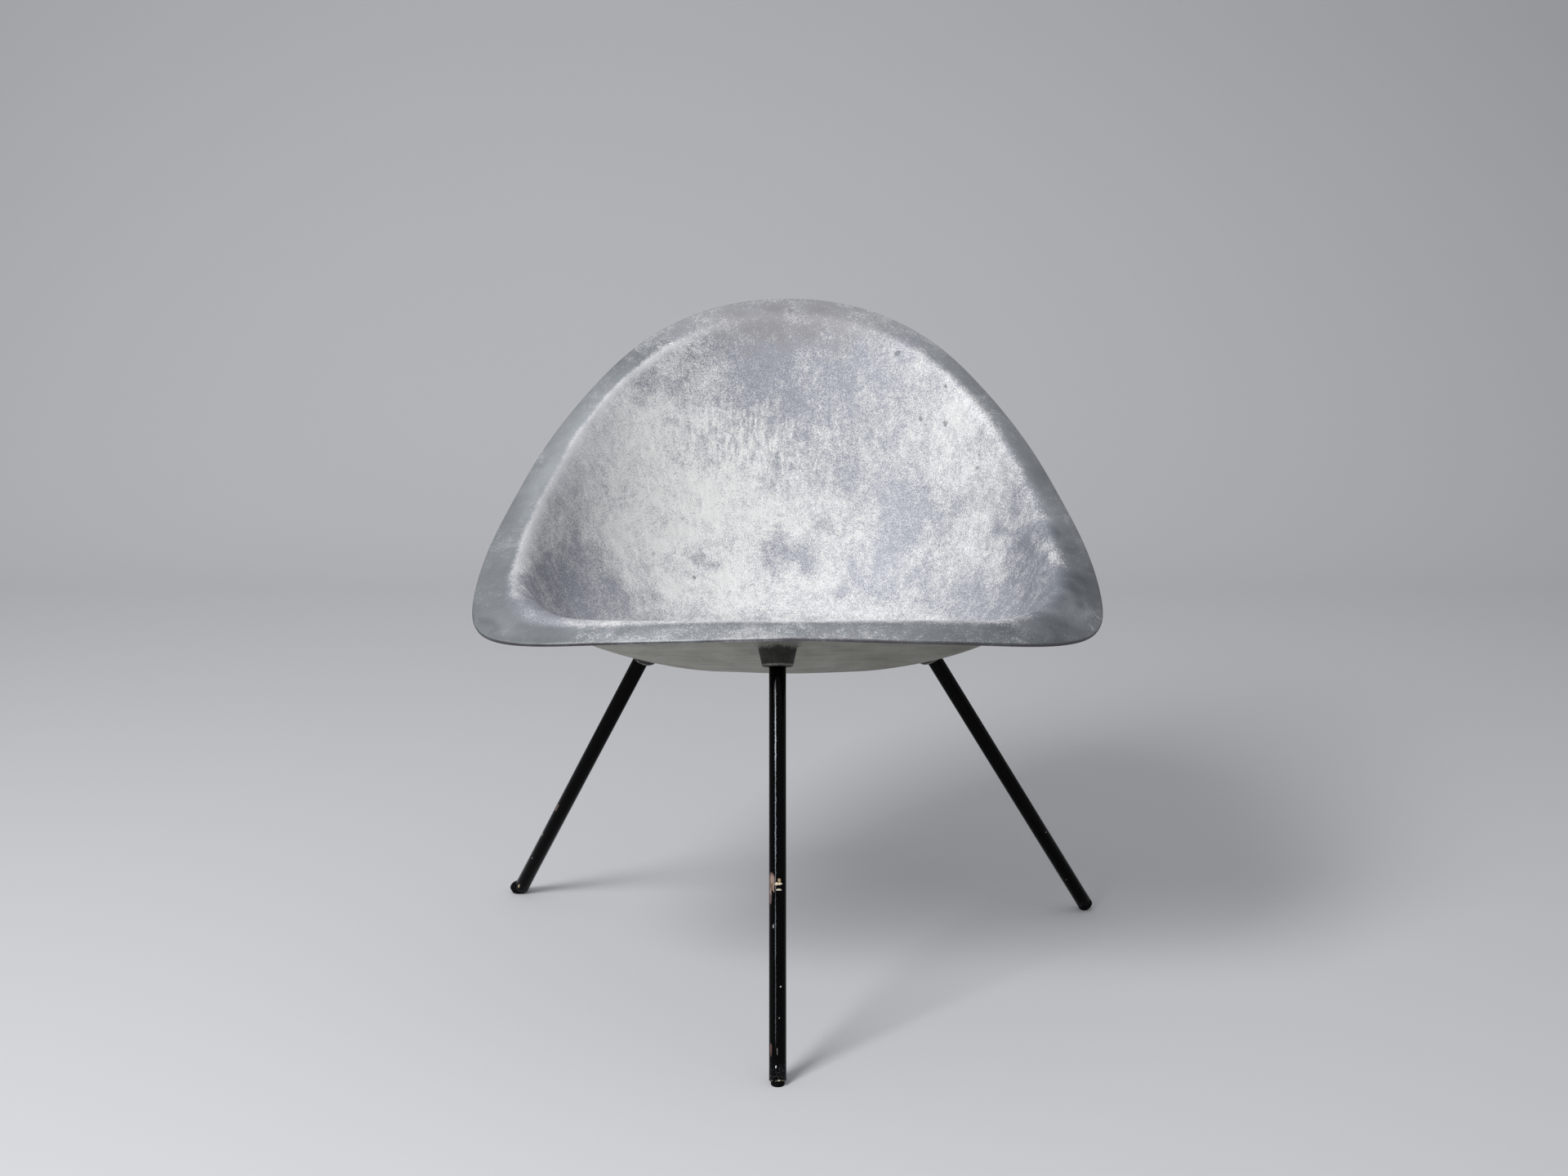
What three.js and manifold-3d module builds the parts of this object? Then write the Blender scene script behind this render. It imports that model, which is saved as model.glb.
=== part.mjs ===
import * as THREE from "three";
import { NURBSCurve } from "three/addons/curves/NURBSCurve.js";
import { mergeVertices } from "three/addons/utils/BufferGeometryUtils.js";
import Module from "manifold-3d";

const wasm = await Module();
wasm.setup();

// A cast aluminium bucket chair on three straight tube legs, in millimetres, with +Z up and its front towards -Y.
// Sides are measured from the seat's middle plane, backs from the front foot and heights from the floor.

// Cast seat
const shellHalfWidth = 300;
const shellRun = 464;
const frontLipBack = 66;
const rimLowHeight = 395;
const backTopHeight = 665;
const dishHeight = 326;
const dishBehindLip = 269;
const wallThickness = 5;
const lipThickness = 4;
const dishTiltShare = 0.176;

// Bosses under the seat
const bossWall = 6.7;
const bossEdge = 1.5;
const frontBossLength = 25;
const rearBossLength = 38.5;
const filletReach = 8;
const filletDrop = 8;
const bossSink = 2.4;
const filletSink = 0.6;
const bossTaperShare = 0.14;

// Where each leg's axis meets the floor and the underside of the seat
const frontFootSide = -8.8;
const frontFootBack = 2;
const frontBossSide = -9.3;
const frontBossBack = 136.5;
const leftFootSide = -303;
const leftFootBack = 497;
const leftBossSide = -134.3;
const leftBossBack = 343.5;
const rightFootSide = 332.5;
const rightFootBack = 447;
const rightBossSide = 131.5;
const rightBossBack = 348.5;

// Leg tubes and the turned inserts in their tops
const tubeRadius = 8;
const tubeWall = 1.2;
const tubeEdge = 0.4;
const socketDepth = 8;
const spigotLength = 24;
const studRadius = 5;
const studLength = 12;
const insertEdge = 0.8;

// Rubber feet
const plugInsert = 16;
const frontTubeLift = 3.4;
const rightHeadLength = 6.5;
const rightHeadEdge = 2.5;
const rightWear = 0.8;
const leftTubeLift = 7.5;
const buttonWall = 1.8;
const buttonBellyHeight = 5;
const buttonHeight = 13;
const buttonStemRoot = 2;
const buttonBaseShare = 0.78;

// Fits and cuts
const clearance = 0.3;
const overrun = 30;
const weldDistance = 0.0001;

// Counts
const shellColumns = 72;
const shellRows = 20;
const roundSteps = 24;
const filletSteps = 4;
const settlingPasses = 60;

// Places on the seat, from the middle of the front round the right side to the top of the back.
// Each is a share of the half width, of the run and of the rim's rise.
const rimShares = [
  [0, 0, 0.043],
  [0.3, 0, 0.035],
  [0.573, 0.011, 0.022],
  [0.807, 0.052, 0],
  [0.96, 0.131, 0.007],
  [1, 0.256, 0.078],
  [0.977, 0.397, 0.2],
  [0.917, 0.543, 0.337],
  [0.827, 0.694, 0.5],
  [0.69, 0.823, 0.678],
  [0.51, 0.922, 0.848],
  [0.267, 0.981, 0.965],
  [0, 1, 1],
];
const crestShares = [
  [0, 0.071, 0.07],
  [0.283, 0.071, 0.07],
  [0.533, 0.08, 0.067],
  [0.72, 0.121, 0.063],
  [0.83, 0.207, 0.096],
  [0.86, 0.31, 0.163],
  [0.84, 0.431, 0.274],
  [0.787, 0.565, 0.404],
  [0.703, 0.698, 0.552],
  [0.59, 0.806, 0.696],
  [0.43, 0.886, 0.819],
  [0.227, 0.933, 0.907],
  [0, 0.95, 0.937],
];

// The dish's guide rings at the front, front corner, side, shoulder and back.
// Each is a share of the way out to the crest along the dish's floor, and of the way up to it.
const floorRingShares = [[0.205, 0], [0.23, 0], [0.275, 0], [0.23, 0], [0.18, 0]];
const turnRingShares = [[0.425, 0.12], [0.43, 0.14], [0.55, 0.06], [0.47, 0.03], [0.4, 0.03]];
const wallRingShares = [[0.75, 0.6], [0.79, 0.615], [0.88, 0.48], [0.78, 0.43], [0.69, 0.42]];

// The crest's guide point stands above the crest, with one below it on the wall and one out on the lip.
const crestLiftShare = 0.14;
const crestFallShare = 0.65;
const lipMiddleShare = 0.55;

const aluminium = { color: 0xb4b9be, metalness: 0.9, roughness: 0.55 };
const blackPaint = { color: 0x101214, metalness: 0.1, roughness: 0.35 };
const steel = { color: 0x9a9c9e, metalness: 1, roughness: 0.4 };
const rubber = { color: 0x17171a, metalness: 0, roughness: 0.8 };

function solidOf(geometry) {
  geometry.deleteAttribute("normal");
  geometry.deleteAttribute("uv");
  const welded = mergeVertices(geometry, weldDistance);
  const corners = welded.index.array;
  const kept = [];
  for (let i = 0; i < corners.length; i += 3) {
    const [a, b, c] = corners.slice(i, i + 3);
    if (a !== b && b !== c && c !== a) kept.push(a, b, c);
  }
  return new wasm.Manifold(new wasm.Mesh({
    numProp: 3,
    vertProperties: new Float32Array(welded.attributes.position.array),
    triVerts: new Uint32Array(kept),
  }));
}

function meshOf(name, solid, finish) {
  const { vertProperties, triVerts } = solid.getMesh();
  const geometry = new THREE.BufferGeometry();
  geometry.setAttribute("position", new THREE.BufferAttribute(vertProperties, 3));
  geometry.setIndex(new THREE.BufferAttribute(triVerts, 1));
  geometry.computeVertexNormals();
  const mesh = new THREE.Mesh(geometry, new THREE.MeshStandardMaterial(finish));
  mesh.name = name;
  return mesh;
}

// A closed body from a first point, rings of points that run round counter-clockwise, and a last point.
function bodyOfRings(first, rings, last) {
  const columns = rings[0].length;
  const points = [first, ...rings.flat(), last];
  const corners = [];
  const end = points.length - 1;
  const at = (ring, column) => 1 + ring * columns + (column % columns);
  for (let c = 0; c < columns; c += 1) {
    corners.push(0, at(0, c), at(0, c + 1));
    for (let r = 0; r < rings.length - 1; r += 1) {
      corners.push(at(r, c), at(r + 1, c), at(r + 1, c + 1));
      corners.push(at(r, c), at(r + 1, c + 1), at(r, c + 1));
    }
    corners.push(at(rings.length - 1, c), end, at(rings.length - 1, c + 1));
  }
  const geometry = new THREE.BufferGeometry().setFromPoints(points);
  geometry.setIndex(corners);
  return geometry;
}

// A closed cubic spline through every station, as a function of the share of the way round.
// A station weighs its own guide four times as much as each one beside it, so passes settle the guides.
function closedSpline(stations) {
  const count = stations.length;
  const around = (list, i) => list[(i + count) % count];
  let guides = stations;
  for (let pass = 0; pass < settlingPasses; pass += 1) {
    const last = guides;
    guides = stations.map((station, i) => {
      const beside = around(last, i - 1).clone().add(around(last, i + 1));
      return station.clone().multiplyScalar(6).sub(beside).divideScalar(4);
    });
  }
  return (turn) => {
    const place = turn * count;
    const i = Math.floor(place);
    const t = place - i;
    const weights = [(1 - t) ** 3, 3 * t ** 3 - 6 * t ** 2 + 4, -3 * t ** 3 + 3 * t ** 2 + 3 * t + 1, t ** 3];
    const point = new THREE.Vector3();
    weights.forEach((weight, k) => point.addScaledVector(around(guides, i + k - 1), weight / 6));
    return point;
  };
}

function withMirror(half) {
  const other = half.slice(1, -1).reverse();
  return [...half, ...other.map((point) => new THREE.Vector3(-point.x, point.y, point.z))];
}

function rimPoint([side, back, rise]) {
  return new THREE.Vector3(
    side * shellHalfWidth,
    frontLipBack + back * shellRun,
    rimLowHeight + rise * (backTopHeight - rimLowHeight),
  );
}

function ringSpline(pairs) {
  const half = pairs.map(([reach, rise]) => new THREE.Vector3(reach, rise, 0));
  return closedSpline([...half, ...half.slice(1, -1).reverse()]);
}

const dishCentre = new THREE.Vector3(0, frontLipBack + dishBehindLip, dishHeight);
const dishUp = new THREE.Vector3(0, -dishTiltShare, 1).normalize();
const rimCurve = closedSpline(withMirror(rimShares.map(rimPoint)));
const crestCurve = closedSpline(withMirror(crestShares.map(rimPoint)));
const dishRings = [floorRingShares, turnRingShares, wallRingShares].map(ringSpline);

// The guide points of the seat's upper face, from the middle of the dish over the crest to the rim.
function profileGuides(turn) {
  const rim = rimCurve(turn);
  const crest = crestCurve(turn);
  const reachOut = crest.clone().sub(dishCentre);
  const rise = reachOut.dot(dishUp);
  reachOut.addScaledVector(dishUp, -rise);
  const dish = dishRings.map((ring) => {
    const shares = ring(turn);
    return dishCentre.clone().addScaledVector(reachOut, shares.x).addScaledVector(dishUp, shares.y * rise);
  });
  const lipWidth = rim.distanceTo(crest);
  const top = crest.clone().add(new THREE.Vector3(0, 0, crestLiftShare * lipWidth));
  const below = dish[2].clone().sub(top).setLength(crestFallShare * lipWidth).add(top);
  const lip = top.clone().lerp(rim, lipMiddleShare);
  return [dishCentre, ...dish, below, top, lip, rim];
}

// Rows of points on the upper face, each row a ring round the dish.
function upperRows() {
  const rows = Array.from({ length: shellRows + 1 }, () => []);
  for (let column = 0; column < shellColumns; column += 1) {
    const guides = profileGuides(column / shellColumns).map((p) => new THREE.Vector4(p.x, p.y, p.z, 1));
    const degree = 3;
    const spans = guides.length - degree;
    const knots = guides.map((_, i) => Math.max(i - degree, 0)).concat(Array(degree + 1).fill(spans));
    const profile = new NURBSCurve(degree, knots, guides);
    rows.forEach((row, i) => row.push(profile.getPoint(i / shellRows)));
  }
  return rows;
}

function faceNormal(rows, r, c) {
  const row = rows[r];
  const along = row[(c + 1) % shellColumns].clone().sub(row[(c + shellColumns - 1) % shellColumns]);
  const out = rows[Math.min(r + 1, shellRows)][c].clone().sub(rows[r - 1][c]);
  return out.cross(along).normalize();
}

function shellGeometry() {
  const upper = upperRows();
  const lower = upper.map((row, r) => row.map((point, c) => {
    const thickness = THREE.MathUtils.lerp(wallThickness, lipThickness, r / shellRows);
    const normal = r === 0 ? dishUp : faceNormal(upper, r, c);
    return point.clone().addScaledVector(normal, -thickness);
  }));
  return bodyOfRings(upper[0][0], [...upper.slice(1), ...lower.slice(1).reverse()], lower[0][0]);
}

const shellBlank = shellGeometry();
const shellTarget = new THREE.Mesh(shellBlank, new THREE.MeshBasicMaterial({ side: THREE.DoubleSide }));

// The distance from a point to the underside of the seat, along a direction.
function undersideDistance(origin, direction) {
  return new THREE.Raycaster(origin, direction).intersectObject(shellTarget)[0].distance;
}

const bossEndRadius = tubeRadius + bossWall;
const buttonRadius = tubeRadius + buttonWall;

// A leg's axis runs up from the floor to the underside of the seat, with its own turned frame.
function legAxis(footSide, footBack, bossSide, bossBack, bossLength) {
  const upward = new THREE.Vector3(0, 0, 1);
  const foot = new THREE.Vector3(footSide, footBack, 0);
  const root = new THREE.Vector3(bossSide, bossBack, 0);
  root.z = undersideDistance(root, upward);
  const up = root.clone().sub(foot).normalize();
  const turn = new THREE.Quaternion().setFromUnitVectors(upward, up);
  return { foot, up, turn, bossStart: root.distanceTo(foot) - bossLength, bossLength };
}

const frontLeg = legAxis(frontFootSide, frontFootBack, frontBossSide, frontBossBack, frontBossLength);
const leftLeg = legAxis(leftFootSide, leftFootBack, leftBossSide, leftBossBack, rearBossLength);
const rightLeg = legAxis(rightFootSide, rightFootBack, rightBossSide, rightBossBack, rearBossLength);

// A turned body on a leg's axis, from its outline of radii and heights.
function turnedOnLeg(leg, height, outline) {
  const points = outline.map(([radius, level]) => new THREE.Vector2(radius, level));
  const geometry = new THREE.LatheGeometry(points, roundSteps);
  geometry.rotateX(Math.PI / 2);
  geometry.applyQuaternion(leg.turn);
  const start = leg.foot.clone().addScaledVector(leg.up, height);
  geometry.translate(start.x, start.y, start.z);
  return solidOf(geometry);
}

function rod(leg, radius, from, to) {
  const length = to - from;
  return turnedOnLeg(leg, from, [[0, 0], [radius, 0], [radius, length], [0, length]]);
}

function bossRing(leg, radius, heightOf) {
  const ring = [];
  for (let i = 0; i < roundSteps; i += 1) {
    const angle = (i / roundSteps) * 2 * Math.PI;
    const offset = new THREE.Vector3(radius * Math.cos(angle), radius * Math.sin(angle), 0);
    const start = leg.foot.clone().add(offset.applyQuaternion(leg.turn));
    ring.push(start.clone().addScaledVector(leg.up, heightOf(start)));
  }
  return ring;
}

// A tapered boss whose fillet follows the underside of the seat, sunk into the wall but not through it.
function bossSolid(leg) {
  const under = (start) => undersideDistance(start, leg.up);
  const flankRadius = bossEndRadius + bossTaperShare * leg.bossLength;
  const rootRadius = flankRadius + filletReach;
  const rings = [
    bossRing(leg, rootRadius / 2, (start) => under(start) + bossSink),
    bossRing(leg, rootRadius, (start) => under(start) + bossSink),
  ];
  for (let step = filletSteps; step >= 0; step -= 1) {
    const angle = (step / filletSteps) * (Math.PI / 2);
    const radius = flankRadius + filletReach * (1 - Math.cos(angle));
    const drop = filletDrop * (1 - Math.sin(angle)) - filletSink * Math.sin(angle);
    rings.push(bossRing(leg, radius, (start) => under(start) - drop));
  }
  rings.push(bossRing(leg, bossEndRadius, () => leg.bossStart + bossEdge));
  rings.push(bossRing(leg, bossEndRadius - bossEdge, () => leg.bossStart));
  const top = leg.foot.clone().addScaledVector(leg.up, under(leg.foot) + bossSink);
  const end = leg.foot.clone().addScaledVector(leg.up, leg.bossStart);
  return solidOf(bodyOfRings(top, rings, end));
}

// The blind bore that takes the end of the tube, and the narrower one above it that takes the stud.
function bossBore(leg) {
  const shoulder = leg.bossStart + socketDepth;
  const socket = rod(leg, tubeRadius + clearance, leg.bossStart - overrun, shoulder);
  const studHole = rod(leg, studRadius + clearance, leg.bossStart, shoulder + studLength + clearance);
  return socket.add(studHole);
}

function seatShell() {
  let seat = solidOf(shellBlank.clone());
  for (const leg of [frontLeg, leftLeg, rightLeg]) seat = seat.add(bossSolid(leg));
  for (const leg of [frontLeg, leftLeg, rightLeg]) seat = seat.subtract(bossBore(leg));
  return seat;
}

function tubeTop(leg) {
  return leg.bossStart + socketDepth - clearance;
}

function legTube(leg, lift) {
  const length = tubeTop(leg) - lift;
  const bore = tubeRadius - tubeWall;
  return turnedOnLeg(leg, lift, [
    [bore, 0],
    [tubeRadius - tubeEdge, 0],
    [tubeRadius, tubeEdge],
    [tubeRadius, length - tubeEdge],
    [tubeRadius - tubeEdge, length],
    [bore, length],
    [bore, 0],
  ]);
}

function legInsert(leg) {
  const spigotRadius = tubeRadius - tubeWall - clearance;
  const length = spigotLength + studLength;
  return turnedOnLeg(leg, tubeTop(leg) - spigotLength, [
    [0, 0],
    [spigotRadius - insertEdge, 0],
    [spigotRadius, insertEdge],
    [spigotRadius, spigotLength],
    [studRadius, spigotLength],
    [studRadius, length - insertEdge],
    [studRadius - insertEdge, length],
    [0, length],
  ]);
}

function belowFloor() {
  const side = 2 * (shellHalfWidth + shellRun);
  const block = new THREE.BoxGeometry(side, side, overrun);
  block.translate(0, 0, -overrun / 2);
  return solidOf(block);
}

function plugStem(leg, from, tubeLift) {
  return rod(leg, tubeRadius - tubeWall - clearance, from, tubeLift + plugInsert);
}

// A plain plug worn flat on the floor, a little narrower than the tube.
function frontFoot() {
  return plugStem(frontLeg, -overrun / 2, frontTubeLift).subtract(belowFloor());
}

// The head's rounded lower edge is worn until it makes a small flat on the floor.
function rightHeadEnd() {
  const lean = Math.acos(rightLeg.up.z);
  const inset = tubeRadius - rightHeadEdge;
  return (rightHeadEdge - rightWear + inset * Math.sin(lean)) / Math.cos(lean) - rightHeadEdge;
}

const rightTubeLift = rightHeadEnd() + rightHeadLength;

// A plug with a head of the tube's own width and a rounded edge.
function rightFoot() {
  const headLength = rightHeadLength - clearance;
  const outline = [[0, 0]];
  for (let step = 0; step <= filletSteps; step += 1) {
    const angle = (step / filletSteps) * (Math.PI / 2);
    const radius = tubeRadius - rightHeadEdge * (1 - Math.sin(angle));
    outline.push([radius, rightHeadEdge * (1 - Math.cos(angle))]);
  }
  outline.push([tubeRadius, headLength], [0, headLength]);
  const head = turnedOnLeg(rightLeg, rightHeadEnd(), outline);
  const stem = plugStem(rightLeg, rightHeadEnd() + rightHeadEdge, rightTubeLift);
  return head.add(stem).subtract(belowFloor());
}

// A domed rubber button that holds the slanted end of the tube and stands flat on the floor.
function leftFoot() {
  const domeHeight = buttonHeight - buttonBellyHeight;
  const outline = [new THREE.Vector2(0, 0), new THREE.Vector2(buttonBaseShare * buttonRadius, 0)];
  for (let step = 0; step <= 2 * filletSteps; step += 1) {
    const angle = (step / (2 * filletSteps)) * (Math.PI / 2);
    const height = buttonBellyHeight + domeHeight * Math.sin(angle);
    outline.push(new THREE.Vector2(buttonRadius * Math.cos(angle), height));
  }
  const geometry = new THREE.LatheGeometry(outline, roundSteps);
  geometry.rotateX(Math.PI / 2);
  geometry.translate(leftLeg.foot.x, leftLeg.foot.y, leftLeg.foot.z);
  const pocketStart = leftTubeLift - clearance;
  const pocket = rod(leftLeg, tubeRadius + clearance, pocketStart, pocketStart + overrun);
  const stem = plugStem(leftLeg, pocketStart - buttonStemRoot, leftTubeLift);
  return solidOf(geometry).subtract(pocket).add(stem).subtract(belowFloor());
}

function chair() {
  const group = new THREE.Group();
  group.add(
    meshOf("seat_shell", seatShell(), aluminium),
    meshOf("front_leg_tube", legTube(frontLeg, frontTubeLift), blackPaint),
    meshOf("left_rear_leg_tube", legTube(leftLeg, leftTubeLift), blackPaint),
    meshOf("right_rear_leg_tube", legTube(rightLeg, rightTubeLift), blackPaint),
    meshOf("front_leg_top_insert", legInsert(frontLeg), steel),
    meshOf("left_rear_leg_top_insert", legInsert(leftLeg), steel),
    meshOf("right_rear_leg_top_insert", legInsert(rightLeg), steel),
    meshOf("front_foot_plug", frontFoot(), rubber),
    meshOf("left_rear_foot_button", leftFoot(), rubber),
    meshOf("right_rear_foot_plug", rightFoot(), rubber),
  );
  const box = new THREE.Box3().setFromObject(group);
  const middle = box.getCenter(new THREE.Vector3());
  group.position.set(-middle.x, -middle.y, -box.min.z);
  return group;
}

export default chair();
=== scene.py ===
"""A cast aluminium bucket chair on three painted tube legs, in a pale studio."""

import bpy
import numpy as np
from mathutils import Matrix, Vector


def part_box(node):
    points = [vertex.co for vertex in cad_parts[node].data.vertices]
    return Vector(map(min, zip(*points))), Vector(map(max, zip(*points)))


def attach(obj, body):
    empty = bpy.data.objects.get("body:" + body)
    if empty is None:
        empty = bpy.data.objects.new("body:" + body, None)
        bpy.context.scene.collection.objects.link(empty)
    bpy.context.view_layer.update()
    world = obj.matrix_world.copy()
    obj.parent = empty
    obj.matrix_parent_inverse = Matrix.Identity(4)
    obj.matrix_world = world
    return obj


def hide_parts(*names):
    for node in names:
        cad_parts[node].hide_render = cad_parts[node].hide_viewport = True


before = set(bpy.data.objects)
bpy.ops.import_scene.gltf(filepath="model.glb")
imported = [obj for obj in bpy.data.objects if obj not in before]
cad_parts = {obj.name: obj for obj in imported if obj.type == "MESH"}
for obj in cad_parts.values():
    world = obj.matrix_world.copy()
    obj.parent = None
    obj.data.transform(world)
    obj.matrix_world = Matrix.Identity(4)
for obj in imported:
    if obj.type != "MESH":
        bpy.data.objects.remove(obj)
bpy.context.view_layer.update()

MM = 0.001

# Cast seat in millimetres: sides from its middle plane, backs from the front foot, heights from the floor
SHELL_HALF_WIDTH = 300
SHELL_RUN = 464
FRONT_LIP_BACK = 66
RIM_LOW_HEIGHT = 395
BACK_TOP_HEIGHT = 665
DISH_HEIGHT = 326
DISH_BEHIND_LIP = 269
DISH_TILT_SHARE = 0.176
WALL_THICKNESS = 5
LIP_THICKNESS = 4
LIP_ROUND = 1.3
EDGE_GROOVE = 0.5

# Stations from the middle of the front round the right side to the top of the back, each a share of the half
# width, of the run and of the rim's rise
RIM_SHARES = (
    (0, 0, 0.043), (0.3, 0, 0.035), (0.573, 0.011, 0.022), (0.807, 0.052, 0), (0.96, 0.131, 0.007),
    (1, 0.256, 0.078), (0.977, 0.397, 0.2), (0.917, 0.543, 0.337), (0.827, 0.694, 0.5),
    (0.69, 0.823, 0.678), (0.51, 0.922, 0.848), (0.267, 0.981, 0.965), (0, 1, 1),
)
CREST_SHARES = (
    (0, 0.071, 0.07), (0.283, 0.071, 0.07), (0.533, 0.08, 0.067), (0.72, 0.121, 0.063), (0.83, 0.207, 0.096),
    (0.86, 0.31, 0.163), (0.84, 0.431, 0.274), (0.787, 0.565, 0.404), (0.703, 0.698, 0.552),
    (0.59, 0.806, 0.696), (0.43, 0.886, 0.819), (0.227, 0.933, 0.907), (0, 0.95, 0.937),
)
# Rings of guides inside the dish, at five places from the front to the back: shares of the way out to the
# crest and of the way up to it
FLOOR_RING_SHARES = ((0.205, 0), (0.23, 0), (0.275, 0), (0.23, 0), (0.18, 0))
TURN_RING_SHARES = ((0.425, 0.12), (0.43, 0.14), (0.55, 0.06), (0.47, 0.03), (0.4, 0.03))
WALL_RING_SHARES = ((0.75, 0.6), (0.79, 0.615), (0.88, 0.48), (0.78, 0.43), (0.69, 0.42))
# The crest's guides: its lift and its fall towards the dish, as shares of the lip's width, and how far out
# over the lip its middle guide lies
CREST_LIFT_SHARE = 0.14
CREST_FALL_SHARE = 0.65
LIP_MIDDLE_SHARE = 0.55

# Hand-finished casting: slow swells under the polish, as their depth and lengths, and how many waves each has
SWELL_SEED = 8
SWELL_DEPTH = 0.35
SWELL_LENGTHS = (55, 150)
WAVE_COUNT = 14

# Mesh counts, and the degree of the seat's own spline
SEAT_COLUMNS = 384
SEAT_ROWS = 130
UNDER_ROWS = 96
ROUND_ROWS = 4
TURNED_STEPS = 72
SPLINE_DEGREE = 3

# The first ring of the underside, counted from the middle of the dish
UNDER_START = SEAT_ROWS + 2 * ROUND_ROWS + 1

# Bosses
BOSS_WALL = 6.7
BOSS_EDGE = 1.5
FRONT_BOSS_LENGTH = 25
REAR_BOSS_LENGTH = 38.5
FILLET_REACH = 8
FILLET_DROP = 8
FILLET_SINK = 0.15
BOSS_SINK = 2.4
BOSS_TAPER_SHARE = 0.14
BOSS_SAMPLE_REACH = 48

# Legs, as side and back of the foot and of the boss in the seat's own frame
FRONT_LEG = ((-8.8, 2), (-9.3, 136.5))
LEFT_LEG = ((-303, 497), (-134.3, 343.5))
RIGHT_LEG = ((332.5, 447), (131.5, 348.5))
TUBE_RADIUS = 8
TUBE_WALL = 1.2
TUBE_EDGE = 0.5
SOCKET_DEPTH = 8
STUD_RADIUS = 5
STUD_LENGTH = 12
CLEARANCE = 0.3

# Feet
PLUG_INSERT = 16
PLUG_EDGE = 0.9
RUBBER_SLACK = 0.1
FRONT_TUBE_LIFT = 3.4
RIGHT_HEAD_LENGTH = 6.5
RIGHT_HEAD_EDGE = 2.5
RIGHT_WEAR = 0.8
LEFT_TUBE_LIFT = 7.5
BUTTON_WALL = 1.8
BUTTON_BELLY_HEIGHT = 5
BUTTON_HEIGHT = 13
BUTTON_STEM_ROOT = 2
BUTTON_BASE_SHARE = 0.78
BUTTON_BASE_EDGE = 0.8
BUTTON_POCKET_LENGTH = 30
BUTTON_CREASE_DEGREES = 35


def unit(vectors):
    return vectors / np.linalg.norm(vectors, axis=-1, keepdims=True)


def closed_spline(stations, turns):
    """A closed cubic spline through the stations.

    A station is two thirds its own guide and a sixth of each neighbour's, which gives the guides.
    """
    count = len(stations)
    ring = np.eye(count)
    guides = np.linalg.solve((4 * ring + np.roll(ring, 1, 0) + np.roll(ring, -1, 0)) / 6, stations)
    place = turns * count
    first = np.floor(place).astype(int)
    t = (place - first)[:, None]
    weights = ((1 - t) ** 3, 3 * t**3 - 6 * t**2 + 4, -3 * t**3 + 3 * t**2 + 3 * t + 1, t**3)
    return sum(w * guides[(first + k - 1) % count] for k, w in enumerate(weights)) / 6


def clamped_weights(shares, count):
    """Each guide's weight on a clamped cubic spline, raised degree by degree from the share's own span."""
    spans = count - SPLINE_DEGREE
    knots = np.concatenate([np.zeros(SPLINE_DEGREE), np.arange(spans + 1), np.full(SPLINE_DEGREE, spans)])
    place = np.clip(shares * spans, 0, spans - 1e-9)[..., None]
    weights = ((place >= knots[:-1]) & (place < knots[1:])).astype(float)
    for order in range(1, SPLINE_DEGREE + 1):
        width = knots[order:] - knots[:-order]
        scale = np.where(width > 0, 1 / np.where(width > 0, width, 1), 0)
        rise = (place - knots[: -order - 1]) * scale[:-1] * weights[..., :-1]
        fall = (knots[order + 1 :] - place) * scale[1:] * weights[..., 1:]
        weights = rise + fall
    return weights


def mirrored(half):
    other = half[-2:0:-1] * np.array([-1, 1, 1])
    return np.concatenate([half, other])


def rim_points(shares):
    """Stations of half the rim or crest, from shares of the half width, of the run and of the rim's rise."""
    side, back, rise = np.array(shares, float).T
    height = RIM_LOW_HEIGHT + rise * (BACK_TOP_HEIGHT - RIM_LOW_HEIGHT)
    return np.stack([side * SHELL_HALF_WIDTH, FRONT_LIP_BACK + back * SHELL_RUN, height], -1)


def dish_ring(shares, turns):
    half = np.array(shares, float)
    return closed_spline(np.concatenate([half, half[-2:0:-1]]), turns)


def seat_guides(turns):
    """Eight guide points for each turn, from the middle of the dish over the crest to the rim."""
    centre = np.array([0, FRONT_LIP_BACK + DISH_BEHIND_LIP, DISH_HEIGHT], float)
    up = unit(np.array([0, -DISH_TILT_SHARE, 1]))
    rim = closed_spline(mirrored(rim_points(RIM_SHARES)), turns)
    crest = closed_spline(mirrored(rim_points(CREST_SHARES)), turns)
    rise = ((crest - centre) @ up)[:, None]
    reach = crest - centre - rise * up
    guides = [np.broadcast_to(centre, rim.shape)]
    for shares in (FLOOR_RING_SHARES, TURN_RING_SHARES, WALL_RING_SHARES):
        out, lift = dish_ring(shares, turns).T[:, :, None]
        guides.append(centre + reach * out + up * rise * lift)
    lip_width = np.linalg.norm(rim - crest, axis=1, keepdims=True)
    top = crest + np.array([0, 0, CREST_LIFT_SHARE]) * lip_width
    guides.append(top + unit(guides[-1] - top) * lip_width * CREST_FALL_SHARE)
    guides.append(top)
    guides.append(top + (rim - top) * LIP_MIDDLE_SHARE)
    guides.append(rim)
    return np.stack(guides, 1), up


def waves(points, seed, lengths):
    """A smooth random height for each point: plane waves of seeded headings and lengths, added up."""
    rng = np.random.default_rng(seed)
    headings = unit(rng.normal(size=(WAVE_COUNT, 3)))
    lengths = rng.uniform(*lengths, WAVE_COUNT)
    phases = rng.uniform(0, 2 * np.pi, WAVE_COUNT)
    heights = np.sin(2 * np.pi * (points @ headings.T) / lengths + phases)
    return heights.sum(-1) / np.sqrt(WAVE_COUNT)


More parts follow.
